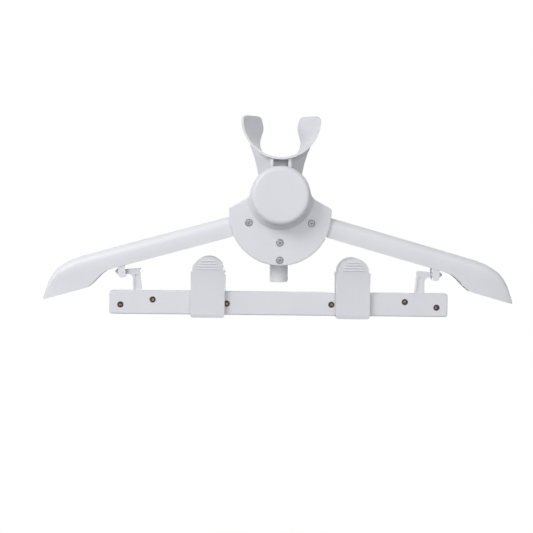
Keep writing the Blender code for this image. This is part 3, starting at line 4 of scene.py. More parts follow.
import bmesh
import bpy
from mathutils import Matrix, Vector


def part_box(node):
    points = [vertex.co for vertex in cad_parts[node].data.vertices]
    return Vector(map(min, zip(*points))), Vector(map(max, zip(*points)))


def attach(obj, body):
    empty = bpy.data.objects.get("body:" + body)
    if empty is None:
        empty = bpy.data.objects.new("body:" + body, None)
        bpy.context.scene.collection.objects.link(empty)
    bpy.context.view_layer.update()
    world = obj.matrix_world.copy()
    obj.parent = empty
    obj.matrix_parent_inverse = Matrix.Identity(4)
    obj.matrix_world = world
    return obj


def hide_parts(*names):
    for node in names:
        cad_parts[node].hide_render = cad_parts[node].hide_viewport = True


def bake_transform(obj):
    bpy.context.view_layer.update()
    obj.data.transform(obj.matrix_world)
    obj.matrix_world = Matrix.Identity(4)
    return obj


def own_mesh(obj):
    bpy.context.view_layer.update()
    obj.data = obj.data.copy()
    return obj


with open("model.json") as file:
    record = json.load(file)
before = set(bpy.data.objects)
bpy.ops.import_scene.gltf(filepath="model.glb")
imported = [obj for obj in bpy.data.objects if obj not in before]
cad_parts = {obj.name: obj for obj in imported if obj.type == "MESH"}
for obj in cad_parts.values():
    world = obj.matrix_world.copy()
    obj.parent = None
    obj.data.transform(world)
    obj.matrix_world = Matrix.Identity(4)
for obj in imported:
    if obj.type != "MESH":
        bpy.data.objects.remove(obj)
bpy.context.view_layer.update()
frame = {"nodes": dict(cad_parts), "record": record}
BODIES = frame["record"]["behaviour"]["bodies"]
BODY_OF = {node: body for body, nodes in BODIES.items() for node in nodes}

MM = 0.001
ARM_PLANE_Y = -0.01725
BUTTON_Z = 0.0778

scene = bpy.context.scene
scene.view_settings.view_transform = "Standard"


# ---------------------------------------------------------------- camera and light
# The photograph is 533 pixels square; its eye is level with the hub and a little to the left.
PHOTO = 533
SENSOR_WIDTH = 36
EYE_DISTANCE = 0.870
EYE_Z = 0.0565
EYE_TURN = math.radians(1.4)
ROLL = math.radians(-0.72)
WIDTH_AT_ARMS = PHOTO * 0.897 * MM
HUB_PIXEL = (280.0, 220.0)

camera_data = bpy.data.cameras.new("camera")
camera_data.sensor_width = SENSOR_WIDTH
camera_data.lens = SENSOR_WIDTH * EYE_DISTANCE / WIDTH_AT_ARMS
camera_data.shift_x = (PHOTO / 2 - HUB_PIXEL[0]) / PHOTO
camera_data.shift_y = (HUB_PIXEL[1] - PHOTO / 2) / PHOTO
camera_data.clip_start = 0.01
camera_data.clip_end = 50
camera = bpy.data.objects.new("camera", camera_data)
camera.location = (
    -math.sin(EYE_TURN) * EYE_DISTANCE, ARM_PLANE_Y - math.cos(EYE_TURN) * EYE_DISTANCE, EYE_Z)
camera.rotation_euler = (math.radians(90), ROLL, -EYE_TURN)
scene.collection.objects.link(camera)
scene.camera = camera


def area_light(name, place, aim, width, watts):
    """A round softbox, its width in metres, turned towards a point."""
    data = bpy.data.lights.new(name, "AREA")
    data.shape = "DISK"
    data.size = width
    data.energy = watts
    light = bpy.data.objects.new(name, data)
    light.location = place
    light.rotation_euler = (Vector(aim) - Vector(place)).to_track_quat("-Z", "Y").to_euler()
    scene.collection.objects.link(light)


HANGER_MIDDLE = (0, 0, 0.03)
area_light("key softbox upper left", (-1.2, -1.3, 1.1), HANGER_MIDDLE, 1.1, 17)
area_light("front fill", (0.2, -2.2, 0.6), HANGER_MIDDLE, 1.0, 5.5)
area_light("side softbox left", (-1.7, -0.3, 0.5), HANGER_MIDDLE, 0.9, 4)
area_light("softbox behind", (0.2, 1.9, -0.12), (0, 0.02, 0.03), 0.5, 9)


# ---------------------------------------------------------------- shader maths
class Sock:
    """A shader socket that can be added, multiplied and mixed in plain Python."""

    def __init__(self, tree, socket):
        self.tree = tree
        self.socket = socket

    def maths(self, operation, other):
        node = self.tree.nodes.new("ShaderNodeMath")
        node.operation = operation
        self.tree.links.new(self.socket, node.inputs[0])
        if isinstance(other, Sock):
            self.tree.links.new(other.socket, node.inputs[1])
        else:
            node.inputs[1].default_value = other
        return Sock(self.tree, node.outputs[0])

    def __add__(self, other):
        return self.maths("ADD", other)

    def __sub__(self, other):
        return self.maths("SUBTRACT", other)

    def __mul__(self, other):
        return self.maths("MULTIPLY", other)

    def larger(self, other):
        return self.maths("MAXIMUM", other)

    def distance(self, other):
        """The length of a step made of this and another at right angles to it."""
        return (self * self + other * other).maths("POWER", 0.5)

    def band(self, low, high, start=0.0, end=1.0):
        """Goes from start to end as this value goes from low to high, and stays there beyond."""
        node = self.tree.nodes.new("ShaderNodeMapRange")
        self.tree.links.new(self.socket, node.inputs["Value"])
        for key, value in (("From Min", low), ("From Max", high), ("To Min", start), ("To Max", end)):
            node.inputs[key].default_value = value
        return Sock(self.tree, node.outputs["Result"])

    def tint(self, dark, light):
        """A colour between two, by this value; the second may be another colour's socket."""
        node = self.tree.nodes.new("ShaderNodeMix")
        node.data_type = "RGBA"
        node.inputs["A"].default_value = (*dark, 1)
        if isinstance(light, Sock):
            self.tree.links.new(light.socket, node.inputs["B"])
        else:
            node.inputs["B"].default_value = (*light, 1)
        self.tree.links.new(self.socket, node.inputs["Factor"])
        return Sock(self.tree, node.outputs["Result"])


class Finish:
    """One procedural material on Object coordinates, in metres."""

    def __init__(self, name, roughness=0.4, metallic=0.0):
        self.material = bpy.data.materials.new(name)
        self.material.use_nodes = True
        self.tree = self.material.node_tree
        self.shader = self.tree.nodes["Principled BSDF"]
        self.shader.inputs["Roughness"].default_value = roughness
        self.shader.inputs["Metallic"].default_value = metallic
        self.shader.inputs["IOR"].default_value = 1.5
        self.here = self.tree.nodes.new("ShaderNodeTexCoord").outputs["Object"]

    def texture(self, kind, size, stretch):
        """A texture node whose grains are about the size given, in metres, divided by the stretch."""
        mapping = self.tree.nodes.new("ShaderNodeMapping")
        mapping.inputs["Scale"].default_value = stretch
        self.tree.links.new(self.here, mapping.inputs["Vector"])
        node = self.tree.nodes.new(kind)
        node.inputs["Scale"].default_value = 1 / size
        self.tree.links.new(mapping.outputs[0], node.inputs["Vector"])
        return node

    def noise(self, size, detail, stretch=(1, 1, 1)):
        node = self.texture("ShaderNodeTexNoise", size, stretch)
        node.inputs["Detail"].default_value = detail
        return Sock(self.tree, node.outputs["Fac"])

    def grains(self, size):
        node = self.texture("ShaderNodeTexVoronoi", size, (1, 1, 1))
        return Sock(self.tree, node.outputs["Distance"])

    def along(self, axis):
        node = self.tree.nodes.new("ShaderNodeSeparateXYZ")
        self.tree.links.new(self.here, node.inputs[0])
        return Sock(self.tree, node.outputs[axis])

    def nearest(self, centres):
        """The distance to the nearest of some axes along Y, each given across and up."""
        across, up = self.along("X"), self.along("Z")
        least = None
        for centre in centres:
            away = (across - centre[0]).distance(up - centre[1])
            least = away if least is None else least.maths("MINIMUM", away)
        return least

    def colour(self, value):
        self.tree.links.new(value.socket, self.shader.inputs["Base Color"])

    def rough(self, value):
        self.tree.links.new(value.socket, self.shader.inputs["Roughness"])

    def relief(self, height, depth):
        node = self.tree.nodes.new("ShaderNodeBump")
        node.inputs["Distance"].default_value = depth
        self.tree.links.new(height.socket, node.inputs["Height"])
        self.tree.links.new(node.outputs[0], self.shader.inputs["Normal"])


# ---------------------------------------------------------------- materials
FLOW_MARKS = 34 * MM
SHEEN_PATCHES = 9 * MM
SPECKS = 2.4 * MM
# Painted shade: a dark colour painted in each of the bar's screw sinks stands in for the shadow in the deep hole.
SINK_RADIUS = 2.75 * MM
SINK_EDGE = 0.15 * MM
PAINTED_SINK_SHADE = (0.13, 0.11, 0.10)
PLATING_CLOUDS = 1.6 * MM
PLATING_SHEEN = 0.25 * MM
TURNED_GRAIN = 0.18 * MM
TURNED_RELIEF = 0.01 * MM


def moulded(name, shades, roughness, texture=0.9 * MM, relief=0.012 * MM, sinks=()):
    """White plastic from a spark-eroded tool: a fine matt grain, faint flow marks, and painted shade in the screw
    sinks round the given centres.
    """
    skin = Finish(name)
    flow = skin.noise(FLOW_MARKS, 2.0, (1, 1, 0.35))
    speck = skin.noise(SPECKS, 4.0)
    colour = (flow * 0.65 + speck * 0.35).band(0.32, 0.68).tint(*shades)
    # Painted shade: the colour goes dark within each screw sink, for the shadow in the hole.
    if sinks:
        colour = skin.nearest(sinks).band(SINK_RADIUS, SINK_RADIUS + SINK_EDGE).tint(PAINTED_SINK_SHADE, colour)
    skin.colour(colour)
    sheen = skin.noise(SHEEN_PATCHES, 3.0) * 0.6 + speck * 0.4
    skin.rough(sheen.band(0.3, 0.7, roughness - 0.05, roughness + 0.07))
    skin.relief(skin.grains(texture) * 0.5 + skin.noise(texture * 0.6, 4.0), relief)
    return skin.material


def plated(name, shades, roughness, centre=None, bright=0.0, shaded_at=1.0):
    """Plated steel with a faint turned grain and cloudy patches; it may darken away from a centre, as painted
    shade.
    """
    skin = Finish(name, metallic=1.0)
    cloud = skin.noise(PLATING_CLOUDS, 4.0)
    shade = cloud.band(0.3, 0.7)
    # Painted shade: from the bright radius out to the last radius the colour falls to the dark tone, for the
    # shadow in a deep screw sink.
    if centre:
        shade = shade * skin.nearest([centre]).band(bright, shaded_at, 1.0, 0.0)
    skin.colour(shade.tint(*shades))
    sheen = cloud * 0.5 + skin.noise(PLATING_SHEEN, 3.0) * 0.5
    skin.rough(sheen.band(0.3, 0.7, roughness - 0.08, roughness + 0.1))
    skin.relief(skin.noise(TURNED_GRAIN, 3.0, (1, 0.2, 1)), TURNED_RELIEF)
    return skin.material


def middle_of(node):
    """A node's middle, across and up."""
    low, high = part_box(node)
    return ((low.x + high.x) / 2, (low.z + high.z) / 2)


BAR_SCREWS = [f"bar_screw_{number}" for number in range(1, 7)]
WHITE_SHADES = ((0.715, 0.72, 0.765), (0.745, 0.75, 0.79))
KNOB_SHADES = ((0.70, 0.705, 0.75), (0.73, 0.735, 0.775))
# Painted light: the spigot's shades are lighter than the shells', to lift it out of the shade under the hub.
SPIGOT_PAINTED_LIGHT_SHADES = ((0.80, 0.80, 0.83), (0.83, 0.83, 0.86))
ARM_SHADES = ((0.74, 0.745, 0.785), (0.77, 0.775, 0.815))
GREY_SHADES = ((0.50, 0.50, 0.53), (0.56, 0.56, 0.59))
ZINC_SHADES = ((0.24, 0.245, 0.26), (0.40, 0.41, 0.43))
WIRE_SHADES = ((0.42, 0.43, 0.45), (0.58, 0.59, 0.61))
# The brass screws' dark tone serves their cloudy patches and, mostly, the painted shade of the deep sink round
# each head.
BRASS_SHADES = ((0.045, 0.033, 0.028), (0.64, 0.51, 0.41))
BRASS_BRIGHT = 0.6 * MM
BRASS_SHADED_AT = 1.6 * MM

WHITE = moulded("white moulded plastic", WHITE_SHADES, 0.40)
KNOB_WHITE = moulded("button plastic, finer grain", KNOB_SHADES, 0.36, 0.6 * MM, 0.008 * MM)
BAR_WHITE = moulded(
    "bar plastic, painted shade in its screw sinks", WHITE_SHADES, 0.40, sinks=[middle_of(node) for node in BAR_SCREWS])
SPIGOT_WHITE = moulded("spigot plastic, polished, painted lighter", SPIGOT_PAINTED_LIGHT_SHADES, 0.24, 0.6 * MM, 0.004 * MM)
ARM_WHITE = moulded("arm plastic, satin", ARM_SHADES, 0.38, 0.8 * MM, 0.008 * MM)
GREY = moulded("inner plastic, plain", GREY_SHADES, 0.5)
ZINC = plated("zinc plated screw", ZINC_SHADES, 0.42)
SPRING_STEEL = plated("spring wire", WIRE_SHADES, 0.28)


# ---------------------------------------------------------------- modelling helpers
ON_PLANE = 0.01 * MM
NO_WIDTH = 0.002 * MM
SHARP_EDGE = math.radians(32)
SIDES = {"left": -1, "right": 1}


def only(obj):
    """Leaves edit mode and makes this the one selected and active object."""
    leave_edit()
    bpy.ops.object.select_all(action="DESELECT")
    obj.select_set(True)
    bpy.context.view_layer.objects.active = obj


def leave_edit():
    if bpy.context.mode != "OBJECT":
        bpy.ops.object.mode_set(mode="OBJECT")


def edit_whole(obj):
    """Opens an object in edit mode with all of it selected."""
    only(obj)
    bpy.ops.object.mode_set(mode="EDIT")
    bpy.ops.mesh.select_all(action="SELECT")


def edit_picked(obj, choose, kind="FACE"):
    """Opens an object in edit mode with some of its faces or edges selected.

    They are the faces that choose(middle, normal) takes, or the edges that choose(middle, edge) takes.
    """
    only(obj)
    bpy.ops.object.mode_set(mode="EDIT")
    bpy.ops.mesh.select_mode(type=kind)
    bpy.ops.mesh.select_all(action="DESELECT")
    form = bmesh.from_edit_mesh(obj.data)
    if kind == "FACE":
        for face in form.faces:
            face.select_set(bool(choose(face.calc_center_median(), face.normal)))
    else:
        for edge in form.edges:
            middle = (edge.verts[0].co + edge.verts[1].co) / 2
            edge.select_set(bool(choose(middle, edge)))
    bmesh.update_edit_mesh(obj.data)


def slice_at(obj, place, normal):
    """Adds the edges in which a plane meets the mesh."""
    edit_whole(obj)
    bpy.ops.mesh.bisect(plane_co=place, plane_no=normal)
    leave_edit()


def place_applied(obj):
    only(obj)
    bpy.ops.object.transform_apply(location=True, rotation=True, scale=True)
    return obj


def applied(obj, kind, **settings):
    """Adds a modifier and applies it at once."""
    only(obj)
    step = obj.modifiers.new(kind.lower(), kind)
    for key, value in settings.items():
        setattr(step, key, value)
    bpy.ops.object.modifier_apply(modifier=step.name)


def cut_from(body, cutter):
    applied(body, "BOOLEAN", operation="DIFFERENCE", solver="EXACT", object=cutter)
    bpy.data.objects.remove(cutter, do_unlink=True)


def copy_of(source, name):
    """A new object with its own copy of another's mesh."""
    piece = bpy.data.objects.new(name, source.data.copy())
    scene.collection.objects.link(piece)
    return piece


def smooth(obj, degrees=30):
    only(obj)
    bpy.ops.object.shade_smooth_by_angle(angle=math.radians(degrees))


def declare(obj, name, material, *nodes, rides=True):
    """Names a finished piece, gives it its material, sets it under the body of the nodes that it stands for when
    it rides, and hides those nodes.
    """
    obj.name = name
    obj.data.name = name
    obj.data.materials.clear()
    obj.data.materials.append(material)
    if rides:
        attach(obj, BODY_OF[nodes[0]])
    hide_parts(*nodes)
    return obj


def softened(node, material, width, flat=0.4, keep=None, before=None, after=None, weight=100):
    """A moulded piece made from its solid: merged, its flats cleared, its edges eased as a tool eases them.

    Edges that keep(middle) takes stay sharp. before and after are functions that reshape the piece ahead of the
    easing and behind it.
    """
    piece = copy_of(frame["nodes"][node], node + "_moulding")
    edit_whole(piece)
    bpy.ops.mesh.remove_doubles(threshold=NO_WIDTH)
    bpy.ops.mesh.dissolve_limited(angle_limit=math.radians(flat), delimit={"NORMAL"})
    leave_edit()
    if before:
        before(piece)
    if keep:
        edit_picked(
            piece, lambda middle, edge: not keep(middle) and edge.calc_face_angle(0) > SHARP_EDGE, "EDGE")
        bpy.ops.mesh.bevel(offset=width, segments=2, clamp_overlap=True)
        leave_edit()
    elif width:
        applied(
            piece, "BEVEL", width=width, segments=2, limit_method="ANGLE", angle_limit=SHARP_EDGE,
            use_clamp_overlap=True, miter_outer="MITER_ARC")
    if after:
        after(piece)
    smooth(piece)
    applied(piece, "WEIGHTED_NORMAL", keep_sharp=True, weight=weight)
    return declare(piece, node + "_moulding", material, node)


def clear_slivers(piece):
    """Takes out the faces without width that the bevel leaves where small roundings meet."""
    edit_whole(piece)
    bpy.ops.mesh.dissolve_degenerate(threshold=NO_WIDTH)
    leave_edit()


# ---------------------------------------------------------------- screws
HEAD_ROUNDING_SHARE = 0.55
RECESS_DEPTH_SHARE = 0.75
RECESS_LENGTH_SHARE = 1.05
RECESS_WIDTH_SHARE = 0.26
RECESS_TAPER_SHARE = 0.45
RECESS_CENTRE_SHARE = 0.34
POINT_SHARE = 0.2


def screw_model(head_radius, head_height, shank_radius, length):
    """A pan head screw with a cross recess, head towards -Y, its seat at the origin."""
    bpy.ops.mesh.primitive_cylinder_add(
        vertices=48, radius=head_radius, depth=head_height, location=(0, -head_height / 2, 0),
        rotation=(math.radians(90), 0, 0))
    head = place_applied(bpy.context.object)
    edit_picked(
        head, lambda middle, edge: all(abs(v.co.y + head_height) < ON_PLANE for v in edge.verts), "EDGE")
    bpy.ops.mesh.bevel(offset=head_height * HEAD_ROUNDING_SHARE, segments=4, profile=0.6)
    edit_picked(head, lambda middle, normal: normal.y > 0.9)
    bpy.ops.mesh.inset(thickness=head_radius - shank_radius, depth=0)
    bpy.ops.mesh.extrude_region_move(TRANSFORM_OT_translate={"value": (0, length - shank_radius, 0)})
    bpy.ops.mesh.extrude_region_move(TRANSFORM_OT_translate={"value": (0, shank_radius, 0)})
    bpy.ops.transform.resize(value=(POINT_SHARE, 1, POINT_SHARE))
    depth = head_height * RECESS_DEPTH_SHARE
    for turn in (0, 90):
        leave_edit()
        bpy.ops.mesh.primitive_cube_add(
            size=1, location=(0, -head_height, 0), rotation=(0, math.radians(turn), 0))
        slot = bpy.context.object
        slot.scale = (head_radius * RECESS_LENGTH_SHARE, depth * 2, head_radius * RECESS_WIDTH_SHARE)
        place_applied(slot)
        edit_picked(slot, lambda middle, normal: normal.y > 0.9)
        bpy.ops.transform.resize(value=(RECESS_TAPER_SHARE, 1, RECESS_TAPER_SHARE))
        cut_from(head, slot)
    bpy.ops.mesh.primitive_cone_add(
        vertices=24, radius1=head_radius * RECESS_CENTRE_SHARE, radius2=0, depth=depth * 2.4,
        location=(0, -head_height + depth * 0.3, 0), rotation=(math.radians(-90), 0, 0))
    cut_from(head, place_applied(bpy.context.object))
    smooth(head, 35)
    return head


def screw_in(model, node, material, turn, facing=-1):
    """One copy of a screw model, set where the node lies, turned by its own angle and facing the front (-1) or
    the rear (1)."""
    low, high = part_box(node)
    screw = copy_of(model, node + "_head")
    head_height = -min(corner[1] for corner in model.bound_box)
    screw.rotation_euler = (0 if facing < 0 else math.pi, math.radians(turn), 0)
    depth = low.y + head_height if facing < 0 else high.y - head_height
    screw.location = ((low.x + high.x) / 2, depth, (low.z + high.z) / 2)
    place_applied(screw)
    return declare(screw, node + "_head", material, node)


def make_screws():
    hub_model = screw_model(head_radius=3.0 * MM, head_height=1.0 * MM, shank_radius=1.2 * MM, length=11.9 * MM)
    for place, turn in (("left", 38), ("right", 12), ("upper", 60), ("lower", 25)):
        screw_in(hub_model, place + "_hub_screw", ZINC, turn)
    cradle_model = screw_model(head_radius=3.0 * MM, head_height=0.7 * MM, shank_radius=1.2 * MM, length=9.9 * MM)
    for side, turn in (("left", 20), ("right", 71)):
        screw_in(cradle_model, side + "_cradle_screw", ZINC, turn, facing=1)
    lock_model = screw_model(head_radius=2.8 * MM, head_height=1.6 * MM, shank_radius=1.0 * MM, length=7.9 * MM)
    screw_in(lock_model, "lock_plate_screw", ZINC, 15, facing=1)
    bar_model = screw_model(head_radius=2.1 * MM, head_height=0.8 * MM, shank_radius=0.8 * MM, length=5.4 * MM)
    for node, turn in zip(BAR_SCREWS, (18, 52, 77, 33, 8, 64)):
        # Painted shade: each brass head darkens towards its rim, for the shadow of its sink.
        brass = plated("yellow zinc, " + node, BRASS_SHADES, 0.4, middle_of(node), BRASS_BRIGHT, BRASS_SHADED_AT)
        screw_in(bar_model, node, brass, turn)
    for model in (hub_model, cradle_model, lock_model, bar_model):
        bpy.data.objects.remove(model, do_unlink=True)


# ---------------------------------------------------------------- push button
CAP_DEPTH = 15.2 * MM
CAP_WALL = 2.0 * MM
CAP_ROUNDING = 3.7 * MM
STEM_RADIUS = 4.0 * MM
LIP_HEIGHT = 0.8 * MM
LIP_BACK = (5.7 * MM, 7.4 * MM)
DISH_RIM = 1.2 * MM
DISH_SLOPE = 8.0 * MM
DISH_DEPTH = 0.12 * MM
MOUTH_ROUNDING = 0.3 * MM
MOUTH_FLARE = 0.22 * MM


def make_button():
    """A deep round cap with a rolled front edge that overhangs its collar, a faint dish and a hollow back."""
    low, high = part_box("release_button")
    radius = (high.x - low.x) / 2
    back = low.y + CAP_DEPTH
    hollow = CAP_DEPTH - CAP_WALL
    bpy.ops.mesh.primitive_cylinder_add(
        vertices=128, radius=radius, depth=back - low.y, location=(0, (back + low.y) / 2, BUTTON_Z),
        rotation=(math.radians(90), 0, 0))
    cap = place_applied(bpy.context.object)
    for depth in LIP_BACK:
        slice_at(cap, (0, low.y + depth, 0), (0, 1, 0))
    edit_picked(cap, lambda middle, edge: all(v.co.y < low.y + sum(LIP_BACK) / 2 for v in edge.verts), "EDGE")
    lip = 1 + LIP_HEIGHT / radius
    bpy.ops.transform.resize(value=(lip, 1, lip), center_override=(0, low.y, BUTTON_Z))
    leave_edit()
    edit_picked(cap, lambda middle, normal: normal.y > 0.9)
    bpy.ops.mesh.inset(thickness=CAP_WALL, depth=0)
    bpy.ops.mesh.extrude_region_move(TRANSFORM_OT_translate={"value": (0, -hollow, 0)})
    bpy.ops.mesh.inset(thickness=radius - CAP_WALL - STEM_RADIUS, depth=0)
    bpy.ops.mesh.extrude_region_move(TRANSFORM_OT_translate={"value": (0, high.y - back + hollow, 0)})
    leave_edit()
    edit_picked(cap, lambda middle, edge: all(abs(v.co.y - low.y) < ON_PLANE for v in edge.verts), "EDGE")
    bpy.ops.mesh.bevel(offset=CAP_ROUNDING, segments=10, profile=0.5)
    front = Vector((0, low.y, BUTTON_Z))
    edit_picked(cap, lambda middle, normal: normal.y < -0.99 and (middle - front).length < MM)
    bpy.ops.mesh.inset(thickness=DISH_RIM, depth=0)
    bpy.ops.mesh.inset(thickness=DISH_SLOPE, depth=0)
    bpy.ops.transform.translate(value=(0, DISH_DEPTH, 0))
    leave_edit()
    edit_picked(cap, lambda middle, edge: all(abs(v.co.y - back) < ON_PLANE for v in edge.verts), "EDGE")
    bpy.ops.mesh.bevel(offset=MOUTH_ROUNDING, segments=2, profile=0.5)
    leave_edit()
    edit_picked(
        cap, lambda middle, edge: all(
            abs(v.co.y - back) < 0.5 * MM and (v.co.xz - front.xz).length > radius - MM for v in edge.verts),
        "EDGE")
    flare = 1 + MOUTH_FLARE / radius
    bpy.ops.transform.resize(value=(flare, 1, flare), center_override=(0, back, BUTTON_Z))
    leave_edit()
    smooth(cap)
    declare(cap, "push_button_cap", KNOB_WHITE, "release_button")


# ---------------------------------------------------------------- clip leaves
RIBS_HALF_WIDTH = 11.8 * MM
RIBS_BELOW_TOP = (2.6 * MM, 13.6 * MM)
NOTCH_OUT = 15.05 * MM
NOTCH_BELOW_TOP = 11.15 * MM
NOTCH_WIDTH = 3.0 * MM
NOTCH_HEIGHT = 4.3 * MM


def make_leaf(node):
    """A clip leaf with its outline eased and its grip ribs left crisp."""
    low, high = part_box(node)
    middle_x = (low.x + high.x) / 2

    def in_ribs(point):
        below_top = high.z - point.z
        return abs(point.x - middle_x) < RIBS_HALF_WIDTH and RIBS_BELOW_TOP[0] < below_top < RIBS_BELOW_TOP[1]

    def step_shoulders(piece):
        """A notch on each shoulder, where the round tab stands back from the body."""
        for side in SIDES.values():
            bpy.ops.mesh.primitive_cube_add(
                size=1, location=(middle_x + side * NOTCH_OUT, (low.y + high.y) / 2, high.z - NOTCH_BELOW_TOP))
            notch = bpy.context.object
            notch.scale = (NOTCH_WIDTH, high.y - low.y + 2 * MM, NOTCH_HEIGHT)
            cut_from(piece, place_applied(notch))

    return softened(node, WHITE, 0.5 * MM, flat=0.05, keep=in_ribs, before=step_shoulders)


# ---------------------------------------------------------------- arms
ARM_SLOPE = math.radians(15.6)
ARM_MIDLINE = 60.3 * MM
ARM_HALF_DEPTH = 7.75 * MM
CROWN_WIDTH = 12 * MM
CROWN_FALL = 2.0 * MM
CROWN_ROWS = (-21, -18, -15, -12.5, -10.5, -8.5, -6.5, -4.5, -2.5, -0.5, 1.5, 3.5, 5.5, 7.5)
CROWN_START = 38 * MM
CROWN_FULL = 50 * MM
LUG_SPAN = (136.0 * MM, 144.0 * MM)
LUG_ROOT = -8.6 * MM


def crown_arm(piece):
    """Crowns both broad faces of an arm, outside the hub and the lug: it grows thinner towards its edges."""
    side = math.copysign(1, piece.data.vertices[0].co.x)
    for row in CROWN_ROWS:
        slice_at(
            piece, (0, 0, (ARM_MIDLINE + row * MM) / math.cos(ARM_SLOPE)),
            (side * math.sin(ARM_SLOPE), 0, math.cos(ARM_SLOPE)))
    for share in (0, 0.33, 0.67, 1):
        slice_at(piece, (side * (CROWN_START + share * (CROWN_FULL - CROWN_START)), 0, 0), (1, 0, 0))

    def fall(point, face):
        """The share of the crown's fall at a point, seen from the front (-1) or the rear (1)."""
        out = abs(point.x)
        off = point.z * math.cos(ARM_SLOPE) + out * math.sin(ARM_SLOPE) - ARM_MIDLINE
        depth = (point.y - ARM_PLANE_Y) * face / ARM_HALF_DEPTH
        if depth <= 0 or LUG_SPAN[0] < out < LUG_SPAN[1] and off < LUG_ROOT:
            return 0
        clear_of_hub = min(1, max(0, (out - CROWN_START) / (CROWN_FULL - CROWN_START)))
        return min(1, depth) * clear_of_hub * off ** 2 / (off ** 2 + CROWN_WIDTH ** 2)

    for face in (-1, 1):
        group = piece.vertex_groups.new(name="face")
        for vertex in piece.data.vertices:
            group.add([vertex.index], fall(vertex.co, face), "REPLACE")
        applied(
            piece, "DISPLACE", direction="Y", vertex_group=group.name, mid_level=0, strength=-face * CROWN_FALL)
        piece.vertex_groups.clear()


# ---------------------------------------------------------------- housings, arms and clips
def make_mouldings():
    for node, material, width in (
            ("hub_front_shell", WHITE, 0.30), ("hub_rear_shell", WHITE, 0.35),
            ("pole_spigot", SPIGOT_WHITE, 0.30), ("head_cradle", WHITE, 0.45),
            ("left_bracket", WHITE, 0.30), ("right_bracket", WHITE, 0.30),
            ("left_hook_pin", WHITE, 0.25), ("right_hook_pin", WHITE, 0.25),
            ("bar_front_shell", BAR_WHITE, 0.25), ("bar_rear_shell", WHITE, 0.25),
            ("lock_plate", GREY, 0.2)):
        softened(node, material, width * MM)
    for side in SIDES:
        softened(side + "_arm", ARM_WHITE, 0.35 * MM, after=crown_arm, weight=50)
        make_leaf(side + "_clip_front_leaf")
        make_leaf(side + "_clip_rear_leaf")
    for side in SIDES:
        softened(side + "_clip_slider", GREY, 0.25 * MM, after=clear_slivers)
        softened(side + "_clip_axle", SPRING_STEEL, 0.2 * MM)


# ---------------------------------------------------------------- springs
def make_button_spring():
    """The return spring, which in the real button shortens against the front plate as the button goes in; here it
    is a plain copy of its solid.
    """
    spring = softened("button_spring", SPRING_STEEL, 0)
    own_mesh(spring)


def make_clip_spring(side):
    """A torsion spring cut at its middle turn into two halves, one for each leg."""
    node = f"{side}_clip_spring"
    low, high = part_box(node)
    middle_x = (low.x + high.x) / 2
    whole = softened(node, SPRING_STEEL, 0)
    for place, front in (("front", True), ("rear", False)):
        half = copy_of(whole, f"{node}_{place}_half")
        edit_whole(half)
        bpy.ops.mesh.bisect(
            plane_co=(middle_x, 0, 0), plane_no=(1, 0, 0), use_fill=True, clear_outer=front,
            clear_inner=not front)
        leave_edit()
        smooth(half)
        declare(half, f"{node}_{place}_half", SPRING_STEEL, node, rides=False)
        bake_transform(half)
    bpy.data.objects.remove(whole, do_unlink=True)


# ---------------------------------------------------------------- floor and backdrop
FLOOR_Z = -0.42
FLOOR_SIZE = 8
SHADOW_RADIUS = 0.15
SHADOW_END = 0.60
GLOW_IN_SHADOW = 0.72
FLOOR_SHADES = ((0.35, 0.35, 0.35), (0.85, 0.85, 0.85))
ROOM_LIGHT = 1.04
CEILING_SHARE = 0.42
SIDE_WALL_SHARE = 0.25


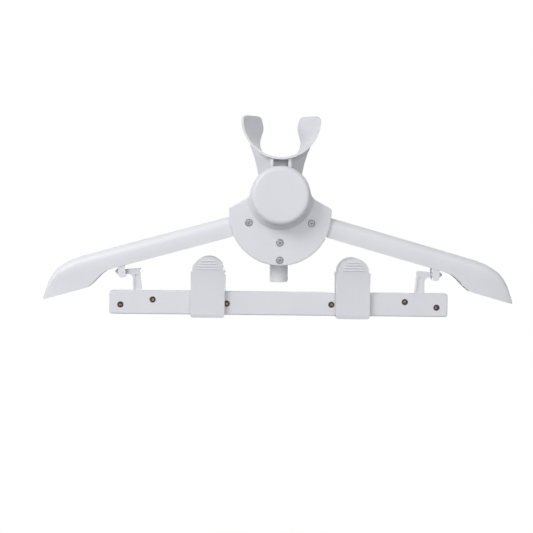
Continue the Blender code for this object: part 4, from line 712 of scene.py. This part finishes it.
def white_stage():
    """A pale floor far below the hanger head, which keeps a shadow there and is plain white farther off."""
    bpy.ops.mesh.primitive_plane_add(size=FLOOR_SIZE, location=(0, 1.0, FLOOR_Z))
    floor = place_applied(bpy.context.object)
    floor.name = "floor"
    paper = Finish("pale floor", 0.9)
    tree = paper.tree
    glow = tree.nodes.new("ShaderNodeEmission")
    glow.inputs["Strength"].default_value = 1.0
    path = tree.nodes.new("ShaderNodeLightPath")
    seen = Sock(tree, path.outputs["Is Camera Ray"]).larger(Sock(tree, path.outputs["Is Glossy Ray"]))
    seen = seen.larger(Sock(tree, path.outputs["Is Transmission Ray"]))
    paper.colour(seen.tint(*FLOOR_SHADES))
    away = paper.along("X").distance(paper.along("Y"))
    mix = tree.nodes.new("ShaderNodeMixShader")
    tree.links.new((seen * away.band(SHADOW_RADIUS, SHADOW_END, GLOW_IN_SHADOW, 1.0)).socket, mix.inputs[0])
    tree.links.new(paper.shader.outputs[0], mix.inputs[1])
    tree.links.new(glow.outputs[0], mix.inputs[2])
    tree.links.new(mix.outputs[0], tree.nodes["Material Output"].inputs["Surface"])
    floor.data.materials.append(paper.material)


def white_world():
    """A bright room with darker side walls and ceiling, behind which the camera sees plain white."""
    world = bpy.data.worlds.new("studio")
    scene.world = world
    world.use_nodes = True
    tree = world.node_tree
    room = tree.nodes["Background"]
    room.inputs["Color"].default_value = (1, 1, 1, 1)
    place = tree.nodes.new("ShaderNodeTexCoord").outputs["Generated"]
    split = tree.nodes.new("ShaderNodeSeparateXYZ")
    tree.links.new(place, split.inputs[0])
    walls = Sock(tree, split.outputs["X"]).maths("ABSOLUTE", 0.0).band(0.45, 0.95, 1.0, SIDE_WALL_SHARE)
    ceiling = Sock(tree, split.outputs["Z"]).band(0.30, 0.85, ROOM_LIGHT, ROOM_LIGHT * CEILING_SHARE)
    tree.links.new((walls * ceiling).socket, room.inputs["Strength"])
    screen = tree.nodes.new("ShaderNodeBackground")
    screen.inputs["Color"].default_value = (1, 1, 1, 1)
    screen.inputs["Strength"].default_value = 1.0
    path = tree.nodes.new("ShaderNodeLightPath")
    seen = Sock(tree, path.outputs["Is Camera Ray"]).larger(Sock(tree, path.outputs["Is Transmission Ray"]))
    mix = tree.nodes.new("ShaderNodeMixShader")
    tree.links.new(seen.socket, mix.inputs[0])
    tree.links.new(room.outputs[0], mix.inputs[1])
    tree.links.new(screen.outputs[0], mix.inputs[2])
    tree.links.new(mix.outputs[0], tree.nodes["World Output"].inputs["Surface"])


make_screws()
make_button()
make_mouldings()
make_button_spring()
for side in SIDES:
    make_clip_spring(side)
white_stage()
white_world()
